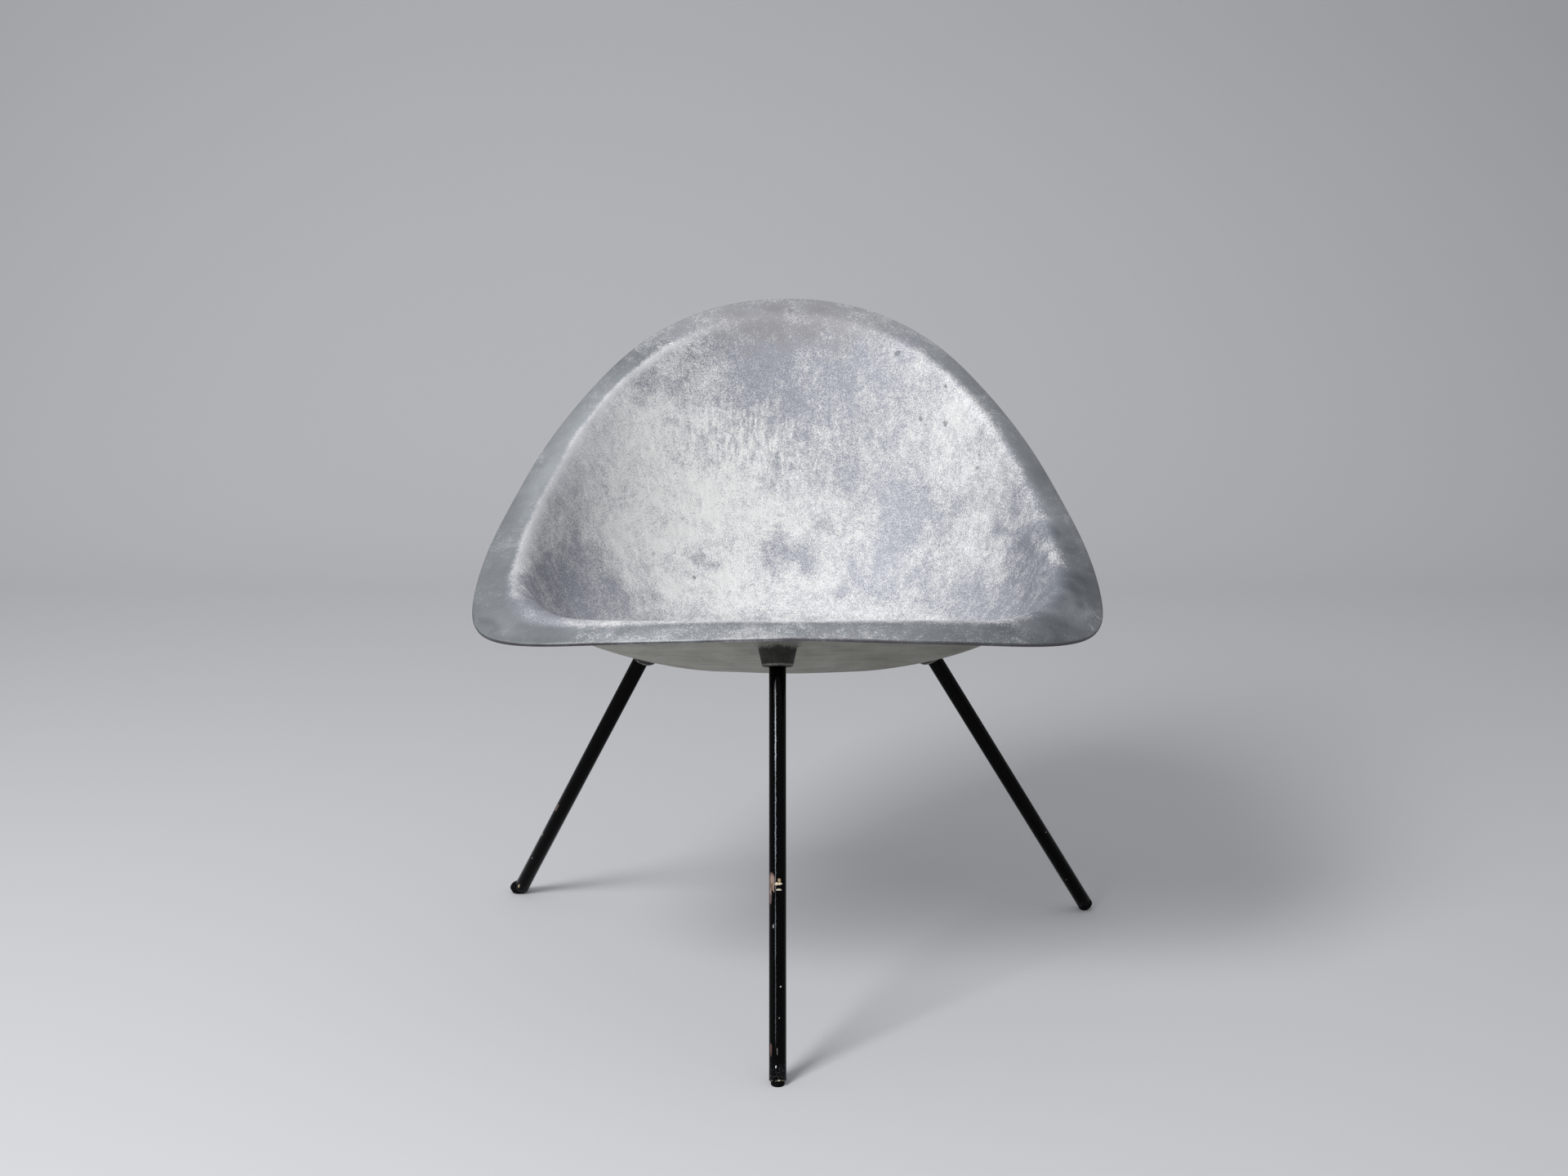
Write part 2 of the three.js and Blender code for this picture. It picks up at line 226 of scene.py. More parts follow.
def surface_normals(grid):
    """The normal of a grid of rings, from the step along the rings and the step from ring to ring."""
    along = np.roll(grid, -1, 1) - np.roll(grid, 1, 1)
    out = np.gradient(grid, axis=0)
    return unit(np.cross(out, along))


def seat_surface():
    """Rings of points over the sitting side, round the lip's edge and back under to the middle of the belly.

    The sitting side is a clamped spline across the guides of each turn, stopped short of the rim by the
    edge's radius, with slow swells along its normal that die away at the middle and at the rim. The underside
    is the sitting side moved in along its normal by the wall's thickness.
    """
    turns = np.arange(SEAT_COLUMNS) / SEAT_COLUMNS
    guides, up = seat_guides(turns)
    spans = guides.shape[1] - SPLINE_DEGREE
    end_slope = np.linalg.norm(guides[:, -1] - guides[:, -2], axis=1) * SPLINE_DEGREE * spans
    stop = 1 - LIP_ROUND / end_slope
    shares = np.linspace(0, 1, SEAT_ROWS + 1)[1:, None] * stop
    upper = np.einsum("rck,ckd->rcd", clamped_weights(shares, guides.shape[1]), guides)
    normals = surface_normals(np.concatenate([np.broadcast_to(guides[:1, 0], upper[:1].shape), upper]))[1:]
    swells = waves(upper, SWELL_SEED, SWELL_LENGTHS) * SWELL_DEPTH
    upper = upper + normals * (swells * np.sin(np.pi * shares) ** 0.5)[..., None]
    thickness = WALL_THICKNESS + (LIP_THICKNESS - WALL_THICKNESS) * shares
    lower = upper - normals * thickness[..., None]
    out = unit(upper[-1] - upper[-2])
    normal = normals[-1]
    angles = np.linspace(0, np.pi / 2, ROUND_ROWS + 1)[1:]
    top_middle = upper[-1] - normal * LIP_ROUND
    low_middle = lower[-1] + normal * LIP_ROUND
    top_round = [top_middle + LIP_ROUND * (np.cos(a) * normal + np.sin(a) * out) for a in angles]
    low_round = [low_middle + LIP_ROUND * (np.cos(a) * out - np.sin(a) * normal) for a in angles[:-1]]
    groove = (top_middle + low_middle) / 2 + (LIP_ROUND - EDGE_GROOVE) * out
    low_start = low_middle + LIP_ROUND * out
    rows = np.linspace(SEAT_ROWS - 1, 0, UNDER_ROWS).round().astype(int)
    rings = np.concatenate([upper, top_round, groove[None], low_start[None], low_round, lower[rows]])
    centre = guides[0, 0]
    return centre, rings, centre - up * WALL_THICKNESS, shares


def new_piece(name, points, faces):
    mesh = bpy.data.meshes.new(name)
    mesh.from_pydata(points.tolist(), [], faces)
    mesh.polygons.foreach_set("use_smooth", np.ones(len(mesh.polygons), bool))
    piece = bpy.data.objects.new(name, mesh)
    bpy.context.scene.collection.objects.link(piece)
    return piece


def quads_of(grid):
    """Quads between the neighbours on a grid of point numbers."""
    near, far = grid[:-1], grid[1:]
    return np.stack([near[:, :-1], far[:, :-1], far[:, 1:], near[:, 1:]], -1).reshape(-1, 4).tolist()


def solid_of_rings(name, first, rings, last):
    """A closed mesh from a first point, rings of points and a last point, with its faces pointing out."""
    count, columns = rings.shape[:2]
    points = np.concatenate([first[None], rings.reshape(-1, 3), last[None]]) * MM
    grid = np.pad(1 + np.arange(count * columns).reshape(count, columns), ((0, 0), (0, 1)), "wrap")
    caps = np.concatenate([
        np.stack([np.zeros(columns, int), grid[0, :-1], grid[0, 1:]], -1),
        np.stack([grid[-1, :-1], np.full(columns, len(points) - 1), grid[-1, 1:]], -1),
    ])
    return new_piece(name, points, quads_of(grid) + caps.tolist())


def loop_of_rings(name, rings):
    """A closed mesh from rings of points whose last ring joins the first."""
    count, columns = rings.shape[:2]
    grid = np.pad(np.arange(count * columns).reshape(count, columns), (0, 1), "wrap")
    return new_piece(name, rings.reshape(-1, 3) * MM, quads_of(grid))


def seat_place():
    """Where the seat's own frame lies in the chair's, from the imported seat's middle and front edge."""
    low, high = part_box("seat_shell")
    front = seat_rings[..., 1].min()
    return np.array([(low.x + high.x) / 2 / MM, low.y / MM - front, 0])


dish_middle, seat_rings, belly_middle, seat_shares = seat_surface()
SHIFT = seat_place()


class Leg:
    """A leg's axis from the floor to the underside of the seat, and how high the underside is round it."""

    def __init__(self, places, boss_length):
        foot, root = (np.array([*place, 0], float) for place in places)
        under = seat_rings[UNDER_START:].reshape(-1, 3)
        near = np.linalg.norm(under[:, :2] - root[:2], axis=1) < BOSS_SAMPLE_REACH
        patch = under[near]
        root[2] = self.fitted(patch[:, :2] - root[:2], patch[:, 2])[0]
        self.foot = foot
        self.up = unit(root - foot)
        self.side = unit(np.cross([0, 1, 0], self.up))
        self.back = np.cross(self.up, self.side)
        self.boss_start = np.linalg.norm(root - foot) - boss_length
        self.boss_length = boss_length
        across = (patch - foot) @ np.stack([self.side, self.back], -1)
        self.under = self.fitted(across, (patch - foot) @ self.up)

    @staticmethod
    def terms(across):
        a, b = across[..., 0], across[..., 1]
        return np.stack([np.ones_like(a), a, b, a * a, a * b, b * b, a**3, a * a * b, a * b * b, b**3], -1)

    def fitted(self, across, heights):
        return np.linalg.lstsq(self.terms(across), heights, rcond=None)[0]

    def under_height(self, across):
        return self.terms(across) @ self.under

    def at(self, across, heights):
        """Points from their places across the leg and their heights along it."""
        return (
            self.foot
            + across[..., :1] * self.side
            + across[..., 1:] * self.back
            + heights[..., None] * self.up
        )


front_leg = Leg(FRONT_LEG, FRONT_BOSS_LENGTH)
left_leg = Leg(LEFT_LEG, REAR_BOSS_LENGTH)
right_leg = Leg(RIGHT_LEG, REAR_BOSS_LENGTH)


def unit_circle():
    angles = np.linspace(0, 2 * np.pi, TURNED_STEPS, endpoint=False)
    return np.stack([np.cos(angles), np.sin(angles)], -1)


def turned(name, leg, outline, floor=False):
    """A body turned about a leg's axis, from an outline of radii and heights from its top to its end.

    Each ring is a circle across the leg. Where the floor is asked for, a point that would lie below it is
    lifted along the leg until it is as far above the floor as its ring's third number says.
    """
    outline = np.array([(*station, 0)[:3] for station in outline], float)
    across = outline[:, 0, None, None] * unit_circle()
    heights = np.broadcast_to(outline[:, 1, None], across.shape[:2])
    if floor:
        on_floor = -(across @ np.array([leg.side[2], leg.back[2]])) / leg.up[2]
        heights = np.maximum(heights, on_floor + outline[:, 2, None] / leg.up[2])
    rings = leg.at(across, heights) + SHIFT
    return solid_of_rings(name, rings[0].mean(0), rings, rings[-1].mean(0))


def quarter_round(radius, height, edge, steps=6):
    """Stations round the lower edge of a turned body, from its flank to its end."""
    angles = np.linspace(0, np.pi / 2, steps + 1)
    return [(radius - edge * (1 - np.cos(a)), height + edge * (1 - np.sin(a))) for a in angles]


def front_plug():
    """A plain plug worn flat on the floor: its rounded lower edge follows the floor, not the tube."""
    stem = TUBE_RADIUS - TUBE_WALL - CLEARANCE - RUBBER_SLACK
    top = FRONT_TUBE_LIFT + PLUG_INSERT
    below = -2 * TUBE_RADIUS  # under the floor, so that every one of these stations is lifted to it
    wear_and_highlight = [(radius, below, rise) for radius, rise in quarter_round(stem, 0, PLUG_EDGE)]
    outline = [(stem - PLUG_EDGE, top), (stem, top - PLUG_EDGE), *wear_and_highlight]
    return turned("front_foot_rubber", front_leg, outline, floor=True)


def right_head_end():
    """Where the right plug's head ends along its leg, for its rounded edge to be worn by the stated depth."""
    lean = np.arccos(right_leg.up[2])
    inset = TUBE_RADIUS - RIGHT_HEAD_EDGE
    return (RIGHT_HEAD_EDGE - RIGHT_WEAR + inset * np.sin(lean)) / np.cos(lean) - RIGHT_HEAD_EDGE


def right_plug():
    """A plug whose head is as wide as the tube, with a rounded edge worn to a small flat."""
    head = TUBE_RADIUS - RUBBER_SLACK
    stem = head - TUBE_WALL - CLEARANCE
    end = right_head_end()
    top = end + RIGHT_HEAD_LENGTH
    outline = [
        (stem - PLUG_EDGE, top + PLUG_INSERT), (stem, top + PLUG_INSERT - PLUG_EDGE), (stem, top - CLEARANCE),
        (head - CLEARANCE, top - CLEARANCE), (head, top - 2 * CLEARANCE),
        *quarter_round(head, end, RIGHT_HEAD_EDGE, 12), (head / 3, end),
    ]
    return turned("right_rear_foot_rubber", right_leg, outline, floor=True)


def left_button():
    """A domed button on the floor, cut out along the leg for the tube, with a stem that fills the tube's end.

    The dome is turned about an upright axis: a quarter of an ellipse from its top to its belly, then a
    straight flank in to the base, whose edge is rounded.
    """
    radius = TUBE_RADIUS + BUTTON_WALL
    base = BUTTON_BASE_SHARE * radius
    angles = np.linspace(np.pi / 2, 0, 17)[1:]
    rise = BUTTON_HEIGHT - BUTTON_BELLY_HEIGHT
    dome = [(radius * np.cos(a), BUTTON_BELLY_HEIGHT + rise * np.sin(a)) for a in angles]
    outline = np.array([*dome, *quarter_round(base, 0, BUTTON_BASE_EDGE), (base / 2, 0)])
    circle = np.pad(unit_circle(), ((0, 0), (0, 1)))
    upright = np.array([0, 0, 1])
    middle = left_leg.foot + SHIFT
    rings = middle + outline[:, 0, None, None] * circle + outline[:, 1, None, None] * upright
    button = solid_of_rings("left_rear_foot_rubber", middle + BUTTON_HEIGHT * upright, rings, middle)

    start = LEFT_TUBE_LIFT - CLEARANCE
    pocket = TUBE_RADIUS + CLEARANCE
    stem = TUBE_RADIUS - TUBE_WALL - CLEARANCE
    top = LEFT_TUBE_LIFT + PLUG_INSERT
    cut = turned("pocket_for_the_tube", left_leg, [(pocket, start + BUTTON_POCKET_LENGTH), (pocket, start)])
    fill = turned("button_stem", left_leg, [
        (stem - PLUG_EDGE, top), (stem, top - PLUG_EDGE), (stem, start - BUTTON_STEM_ROOT),
        (stem - PLUG_EDGE, start - BUTTON_STEM_ROOT),
    ])
    for other, operation in ((cut, "DIFFERENCE"), (fill, "UNION")):
        joint = button.modifiers.new(operation, "BOOLEAN")
        joint.operation = operation
        joint.object = other
    depsgraph = bpy.context.evaluated_depsgraph_get()
    made = bpy.data.meshes.new_from_object(button.evaluated_get(depsgraph))
    button.modifiers.clear()
    button.data = made
    for other in (cut, fill):
        bpy.data.objects.remove(other)
    made.set_sharp_from_angle(angle=np.radians(BUTTON_CREASE_DEGREES))
    return button


def boss(name, leg):
    """A tapered boss: a fillet that follows the underside, a flank, a rounded end and a blind socket.

    Radii are measured from the leg's axis. The fillet's heights follow the underside, the rest run along the
    axis from the boss's lower end.
    """
    end_radius = TUBE_RADIUS + BOSS_WALL
    flank_radius = end_radius + BOSS_TAPER_SHARE * leg.boss_length
    circle = unit_circle()
    rings = []

    def follow(radius, drop):
        across = radius * circle
        rings.append(leg.at(across, leg.under_height(across) - drop))

    def level(radius, height):
        rings.append(leg.at(radius * circle, np.full(TURNED_STEPS, leg.boss_start + height)))

    root_radius = flank_radius + FILLET_REACH
    follow(root_radius / 2, -BOSS_SINK)
    follow(root_radius, -BOSS_SINK)
    for angle in np.linspace(np.pi / 2, 0, 13):
        drop = FILLET_DROP * (1 - np.sin(angle)) - FILLET_SINK * np.sin(angle)
        follow(flank_radius + FILLET_REACH * (1 - np.cos(angle)), drop)
    for angle in np.linspace(0, np.pi / 2, 5):
        level(end_radius - BOSS_EDGE * (1 - np.cos(angle)), BOSS_EDGE * (1 - np.sin(angle)))
    socket = TUBE_RADIUS + CLEARANCE
    hole = STUD_RADIUS + CLEARANCE
    level(socket, 0)
    level(socket, SOCKET_DEPTH)
    level(hole, SOCKET_DEPTH)
    level(hole, SOCKET_DEPTH + STUD_LENGTH + CLEARANCE)
    top = leg.foot + (leg.under[0] + BOSS_SINK) * leg.up
    end = leg.foot + (leg.boss_start + SOCKET_DEPTH + STUD_LENGTH + CLEARANCE) * leg.up
    piece = solid_of_rings(name, top + SHIFT, np.stack(rings) + SHIFT, end + SHIFT)
    points = np.concatenate([top[None], np.concatenate(rings), end[None]])
    height = (points - leg.foot) @ leg.up - leg.boss_start
    set_attribute(piece, "from_seat", leg.boss_length - height)
    set_attribute(piece, "from_end", height)
    return piece


def leg_tube(name, leg, lift):
    """A tube with rounded ends, closed as rings up the outside and down the bore."""
    top = leg.boss_start + SOCKET_DEPTH - CLEARANCE
    bore = TUBE_RADIUS - TUBE_WALL
    soft = TUBE_EDGE * (1 - np.cos(np.pi / 4))
    edge = [(TUBE_RADIUS - TUBE_EDGE, 0), (TUBE_RADIUS - soft, soft), (TUBE_RADIUS, TUBE_EDGE)]
    lower = [(bore, lift), *((radius, lift + inset) for radius, inset in edge)]
    upper = [*((radius, top - inset) for radius, inset in reversed(edge)), (bore, top)]
    outline = np.array(lower + upper, float)
    across = outline[:, 0, None, None] * unit_circle()
    heights = np.broadcast_to(outline[:, 1, None], across.shape[:2])
    piece = loop_of_rings(name, (leg.at(across, heights) + SHIFT)[::-1])
    set_attribute(piece, "leg_place", np.concatenate([across, heights[..., None]], -1)[::-1].reshape(-1, 3))
    return piece


# The studio sweep in metres: its front edge, where its floor starts to turn up, the radius it turns with, its
# top edge and its half width
SWEEP_FRONT = -3.2
SWEEP_TURN = 1.75
SWEEP_RADIUS = 1.0
SWEEP_TOP = 3.4
SWEEP_HALF_WIDTH = 4.2


def studio():
    """A pale sweep: a flat floor that curves up into a back wall, one profile carried straight across."""
    angles = np.linspace(0, np.pi / 2, 40)
    curve_back = SWEEP_TURN + SWEEP_RADIUS * np.sin(angles)
    curve_rise = SWEEP_RADIUS * (1 - np.cos(angles))
    profile_back = np.concatenate([[SWEEP_FRONT], curve_back, [SWEEP_TURN + SWEEP_RADIUS]])
    profile_rise = np.concatenate([[0], curve_rise, [SWEEP_TOP]])
    across = np.linspace(-SWEEP_HALF_WIDTH, SWEEP_HALF_WIDTH, 9)
    points = np.stack(np.broadcast_arrays(across[None, :], profile_back[:, None], profile_rise[:, None]), -1)
    rows, columns = points.shape[:2]
    grid = np.arange(rows * columns).reshape(rows, columns)
    return new_piece("studio_sweep", points.reshape(-1, 3), quads_of(grid.T))


def linear(code):
    """An sRGB hex colour as linear light."""
    share = np.array([int(code[i : i + 2], 16) for i in (1, 3, 5)]) / 255
    light = np.where(share <= 0.04045, share / 12.92, ((share + 0.055) / 1.055) ** 2.4)
    return (*light.tolist(), 1)


def add(owner, kind, *values, out=None, **named):
    """Adds a shader node and gives its output.

    The values fill its sockets in order, a capitalised name fills the open socket of that name, and a small
    name is a setting. A hex colour becomes linear light, and a mix is one of colours.
    """
    tree = owner.node_tree
    node = tree.nodes.new("ShaderNode" + kind)
    if kind == "Mix":
        node.data_type = "RGBA"
    for name, value in named.items():
        if name[0].islower():
            setattr(node, name, value)
    filled = list(zip(node.inputs, values))
    for name, value in named.items():
        if name[0].isupper():
            socket = next(s for s in node.inputs if s.enabled and s.name == name.replace("_", " "))
            filled.append((socket, value))
    for socket, value in filled:
        if isinstance(value, bpy.types.NodeSocket):
            tree.links.new(value, socket)
        else:
            socket.default_value = linear(value) if isinstance(value, str) else value
    if out:
        return node.outputs[out]
    return next((s for s in node.outputs if s.enabled), None)


def new_material(name):
    """An empty material, and the place on the piece that its patterns follow."""
    material = bpy.data.materials.new(name)
    material.use_nodes = True
    material.node_tree.nodes.clear()
    return material, add(material, "TexCoord", out="Object")


def finish_material(material, **shader):
    add(material, "OutputMaterial", Surface=add(material, "BsdfPrincipled", **shader))
    return material


def set_attribute(piece, name, values):
    kind, field = ("FLOAT_VECTOR", "vector") if values.ndim == 2 else ("FLOAT", "value")
    layer = piece.data.attributes.new(name, kind, "POINT")
    layer.data.foreach_set(field, np.ascontiguousarray(values, np.float32).ravel())


# A noise gives values round this, taken off where it moves a place to and fro
NOISE_MIDDLE = (0.5, 0.5, 0.5)

# From the seat's own frame to the one that its patches and pits are measured in
PATCH_SHIFT = np.array([-7.8, -261.5, 0])

# Where the pale oxide is thick or thin on the seat: middle and reach in millimetres, and its lean, from about
# minus one for bare metal to one for solid white
OXIDE_PATCHES = (
    ((-52, 232, 606), (50, 70, 38), -1.1),
    ((-10, 236, 612), (44, 70, 34), -0.9),
    ((-22, 224, 568), (40, 70, 22), -0.9),
    ((72, 222, 590), (24, 70, 34), -0.75),
    ((50, 224, 583), (24, 70, 34), -0.7),
    ((-10, 228, 584), (10, 60, 8), 0.7),
    ((20, 226, 585), (24, 60, 30), -0.35),
    ((-150, 203, 592), (24, 60, 17), -0.6),
    ((-35, 212, 525), (75, 70, 30), -0.1),
    ((-35, 195, 450), (78, 80, 30), 0.7),
    ((-155, 175, 520), (62, 90, 55), 0.75),
    ((-140, 160, 450), (62, 90, 42), 0.8),
    ((-80, 165, 405), (56, 80, 24), 0.5),
    ((-100, 155, 380), (64, 80, 16), 0.6),
    ((30, 160, 366), (80, 80, 20), 0.15),
    ((178, 160, 540), (45, 80, 52), 0.35),
    ((-140, 150, 443), (15, 50, 9), -0.9),
    ((-96, 163, 396), (16, 50, 7), -1.3),
    ((-9, 179, 408), (22, 60, 22), -0.5),
    ((95, 185, 470), (55, 70, 40), -0.45),
    ((108, 160, 412), (28, 70, 20), -0.9),
    ((60, 155, 375), (20, 60, 13), -1.1),
    ((20, 205, 520), (30, 70, 45), -0.5),
    ((130, 155, 455), (40, 90, 30), -0.4),
    ((125, 130, 385), (26, 80, 16), -0.7),
    ((-60, 206, 505), (24, 70, 32), 0.5),
    ((-5, 185, 432), (26, 60, 14), 0.5),
    ((45, 175, 415), (22, 60, 14), 0.5),
    ((-85, 135, 355), (40, 80, 14), 0.6),
    ((40, 130, 350), (60, 80, 12), 0.3),
    ((-160, 140, 425), (40, 90, 30), 0.5),
    ((228, 30, 447), (20, 70, 28), -1.0),
    ((235, -85, 418), (42, 80, 27), -1.2),
    ((225, 40, 480), (30, 90, 40), -0.6),
    ((243, 0, 440), (16, 60, 28), -0.7),
    ((245, -60, 418), (20, 60, 26), -0.5),
    ((180, 20, 378), (50, 110, 16), -0.5),
    ((200, 0, 392), (46, 110, 28), -0.75),
    ((90, 160, 385), (26, 60, 14), -0.35),
    ((-225, 40, 398), (50, 90, 34), -1.3),
    ((-252, -50, 408), (18, 70, 34), -1.0),
    ((-245, -115, 406), (24, 50, 24), -1.2),
    ((-200, -150, 400), (60, 36, 20), -0.9),
    ((-185, 60, 368), (40, 90, 20), -0.45),
    ((-245, 55, 475), (24, 80, 55), -0.25),
    ((-160, 175, 500), (40, 80, 50), 0.3),
    ((-50, -195, 405), (120, 50, 40), 0.35),
    ((-190, -195, 400), (60, 40, 30), 0.35),
    ((-30, 246, 640), (120, 60, 24), -1.35),
    ((0, 260, 658), (190, 60, 18), -0.7),
    ((-118, 208, 568), (26, 60, 20), -0.5),
    ((10, 224, 575), (20, 60, 28), -0.4),
    ((70, 203, 512), (24, 60, 24), -0.4),
    ((100, 200, 530), (20, 60, 20), -0.4),
    ((-6, 172, 398), (20, 60, 12), -0.5),
    ((165, 140, 462), (24, 80, 15), 0.05),
    ((-150, 120, 400), (30, 90, 26), 0.4),
    ((205, 50, 448), (18, 60, 18), -0.6),
    ((4, 158, 387), (20, 50, 12), -1.0),
    ((45, 150, 372), (22, 50, 12), 0.6),
    ((180, 110, 385), (30, 60, 14), 0.4),
    ((100, 235, 622), (40, 60, 22), -0.6),
    ((256, -108, 418), (22, 34, 14), 0.8),
    ((92, -188, 404), (36, 30, 20), -0.5),
)
# Painted light and shade on the bare lip and the film, partly also the metal's own tone, given the same way:
# lighter on the upper left lip, which faces the lamp, and along the front lip's middle, darker over much of
# the right lip, under the top rim and round the low corners, with smaller patches of both elsewhere
PAINTED_LIGHT_AND_SHADE_PATCHES = (
    ((-275, -10, 475), (50, 100, 44), 0.1),
    ((-280, -120, 400), (50, 80, 40), 0.25),
    ((-240, -190, 396), (90, 50, 18), -0.45),
    ((-225, 125, 545), (50, 100, 50), 0.65),
    ((-250, 50, 502), (24, 70, 30), 0.4),
    ((-250, -30, 405), (50, 90, 36), -0.55),
    ((235, -85, 418), (40, 80, 27), -0.35),
    ((-14, 246, 642), (60, 60, 14), -0.6),
    ((-140, 222, 612), (60, 60, 20), -0.4),
    ((270, -60, 420), (60, 130, 60), -0.6),
    ((256, 0, 462), (30, 60, 26), 0.4),
    ((240, 70, 498), (30, 60, 26), -0.2),
    ((-268, 40, 505), (40, 80, 34), 0.25),
    ((190, -190, 400), (120, 60, 40), -0.35),
    ((235, 0, 430), (35, 110, 45), -0.5),
    ((256, -108, 418), (24, 36, 14), 0.7),
    ((242, 0, 466), (12, 50, 26), -0.4),
    ((230, -190, 396), (90, 50, 14), -0.3),
    ((-230, 25, 455), (14, 50, 20), -0.6),
    ((-280, -110, 396), (40, 60, 12), -0.4),
    ((-240, -105, 420), (22, 40, 16), -0.45),
    ((-40, -190, 402), (110, 40, 20), 0.25),
    ((4, 245, 640), (26, 50, 12), -0.4),
    ((-165, -185, 400), (55, 40, 20), 0.4),
)
# Where the oxide has run down the back
DRIP_PATCHES = (
    ((-30, 212, 520), (85, 80, 48), 1.0),
)
# Where the bare film is warmer
WARM_PATCHES = (
    ((-242, 52, 460), (26, 90, 34), 0.15),
    ((-10, 250, 645), (190, 60, 30), 0.75),
)

# Casting pits: middle and radius in millimetres
PITS = (
    ((109, 218, 612), 2.4), ((157, 186, 582), 2.7), ((158, 175, 543), 2.9), ((133, 192, 546), 2.2),
    ((188, 132, 504), 2.5), ((-5, 251, 654), 1.5), ((-109, 225, 620), 1.7), ((-106, 151, 383), 1.8),
)

# How strongly clouds, mottle, runs and fine grain pull the oxide, how much more the runs do where it has
# dripped, and the half width of its ramp from bare to white, with the ramp's shift from the patterns' middle
CLOUD_PULL = 2.7
MOTTLE_PULL = 3.1
RUN_PULL = 0.6
DRIP_PULL = 4.5
GRAIN_PULL = 4.6
RAMP = 1.0
RAMP_SHIFT = -0.1

# The painted highlight along the left crest, which faces the lamp: where it lies on the way from the dish to
# the rim, its half width there, how much further out it lies along the low part of the rim, and how much of
# it is lost there
CREST_SHARE = 0.755
CREST_BAND = 0.04
CREST_LOW_SHIFT = 0.085
CREST_LOW_LOSS = 0.85

# Where the bare lip starts on the way from the dish to the rim, and how softly it does so, with what changes
# on the left and on the right
LIP_START = 0.83
LIP_LEFT_SHIFT = 0.025
LIP_SOFTNESS = 0.03
LIP_RIGHT_SOFTNESS = 0.05
# How much of the bare lip the oxide takes back at the top, over which heights, and in the middle of the front
LIP_TOP_COVER = 0.9
LIP_TOP_HEIGHTS = (595, 650)
LIP_FRONT_COVER = 0.27
LIP_FRONT_REACH = 130
# The bare lip's own lean, and what is added to it along the front
LIP_LEAN = -1.6
LIP_FRONT_LEAN = 0.2

# Where a side of the seat's finish begins and where it is full, as places in the patches' frame
RIGHT_SPAN = (60, 180)
LEFT_SPAN = (-40, -200)
FRONT_SPAN = (-150, -190)
LOW_SPAN = (450, 410)

# The painted highlight along the arris on the left of the front lip: where it sets in from the right, from
# the left and from behind, and the widths of the arris and of the painted shade in the groove under it,
# counted in rings
ARRIS_RIGHT_SPAN = (0, -30)
ARRIS_LEFT_SPAN = (-200, -150)
ARRIS_FRONT_SPAN = (-190, -200)
ARRIS_WIDTH = 1.5
GROOVE_WIDTH = 1.2

# How far bands and patches stray from their outlines, the lengths over which patches do, and the strongest
# lean that the patches add up to
BAND_WOBBLE = 0.01
PATCH_RAGGED = 9
PATCH_LENGTHS = (18, 60)
PATCH_SEEDS = (1, 2, 3)
LEAN_LIMIT = 1.5


def pull_at(points, patches):
    """How far the patches pull at each point: each is a flat-topped bell with steep sides, times its lean."""
    pull = 0
    for middle, reach, lean in patches:
        away = (((points - np.array(middle)) / np.array(reach)) ** 2).sum(-1)
        pull = pull + lean * np.exp(-(away**1.5))
    return pull


def smooth_step(values, start, stop):
    """Nought up to the start, one past the stop, and an eased curve between them."""
    share = np.clip((values - start) / (stop - start), 0, 1)
    return share * share * (3 - 2 * share)


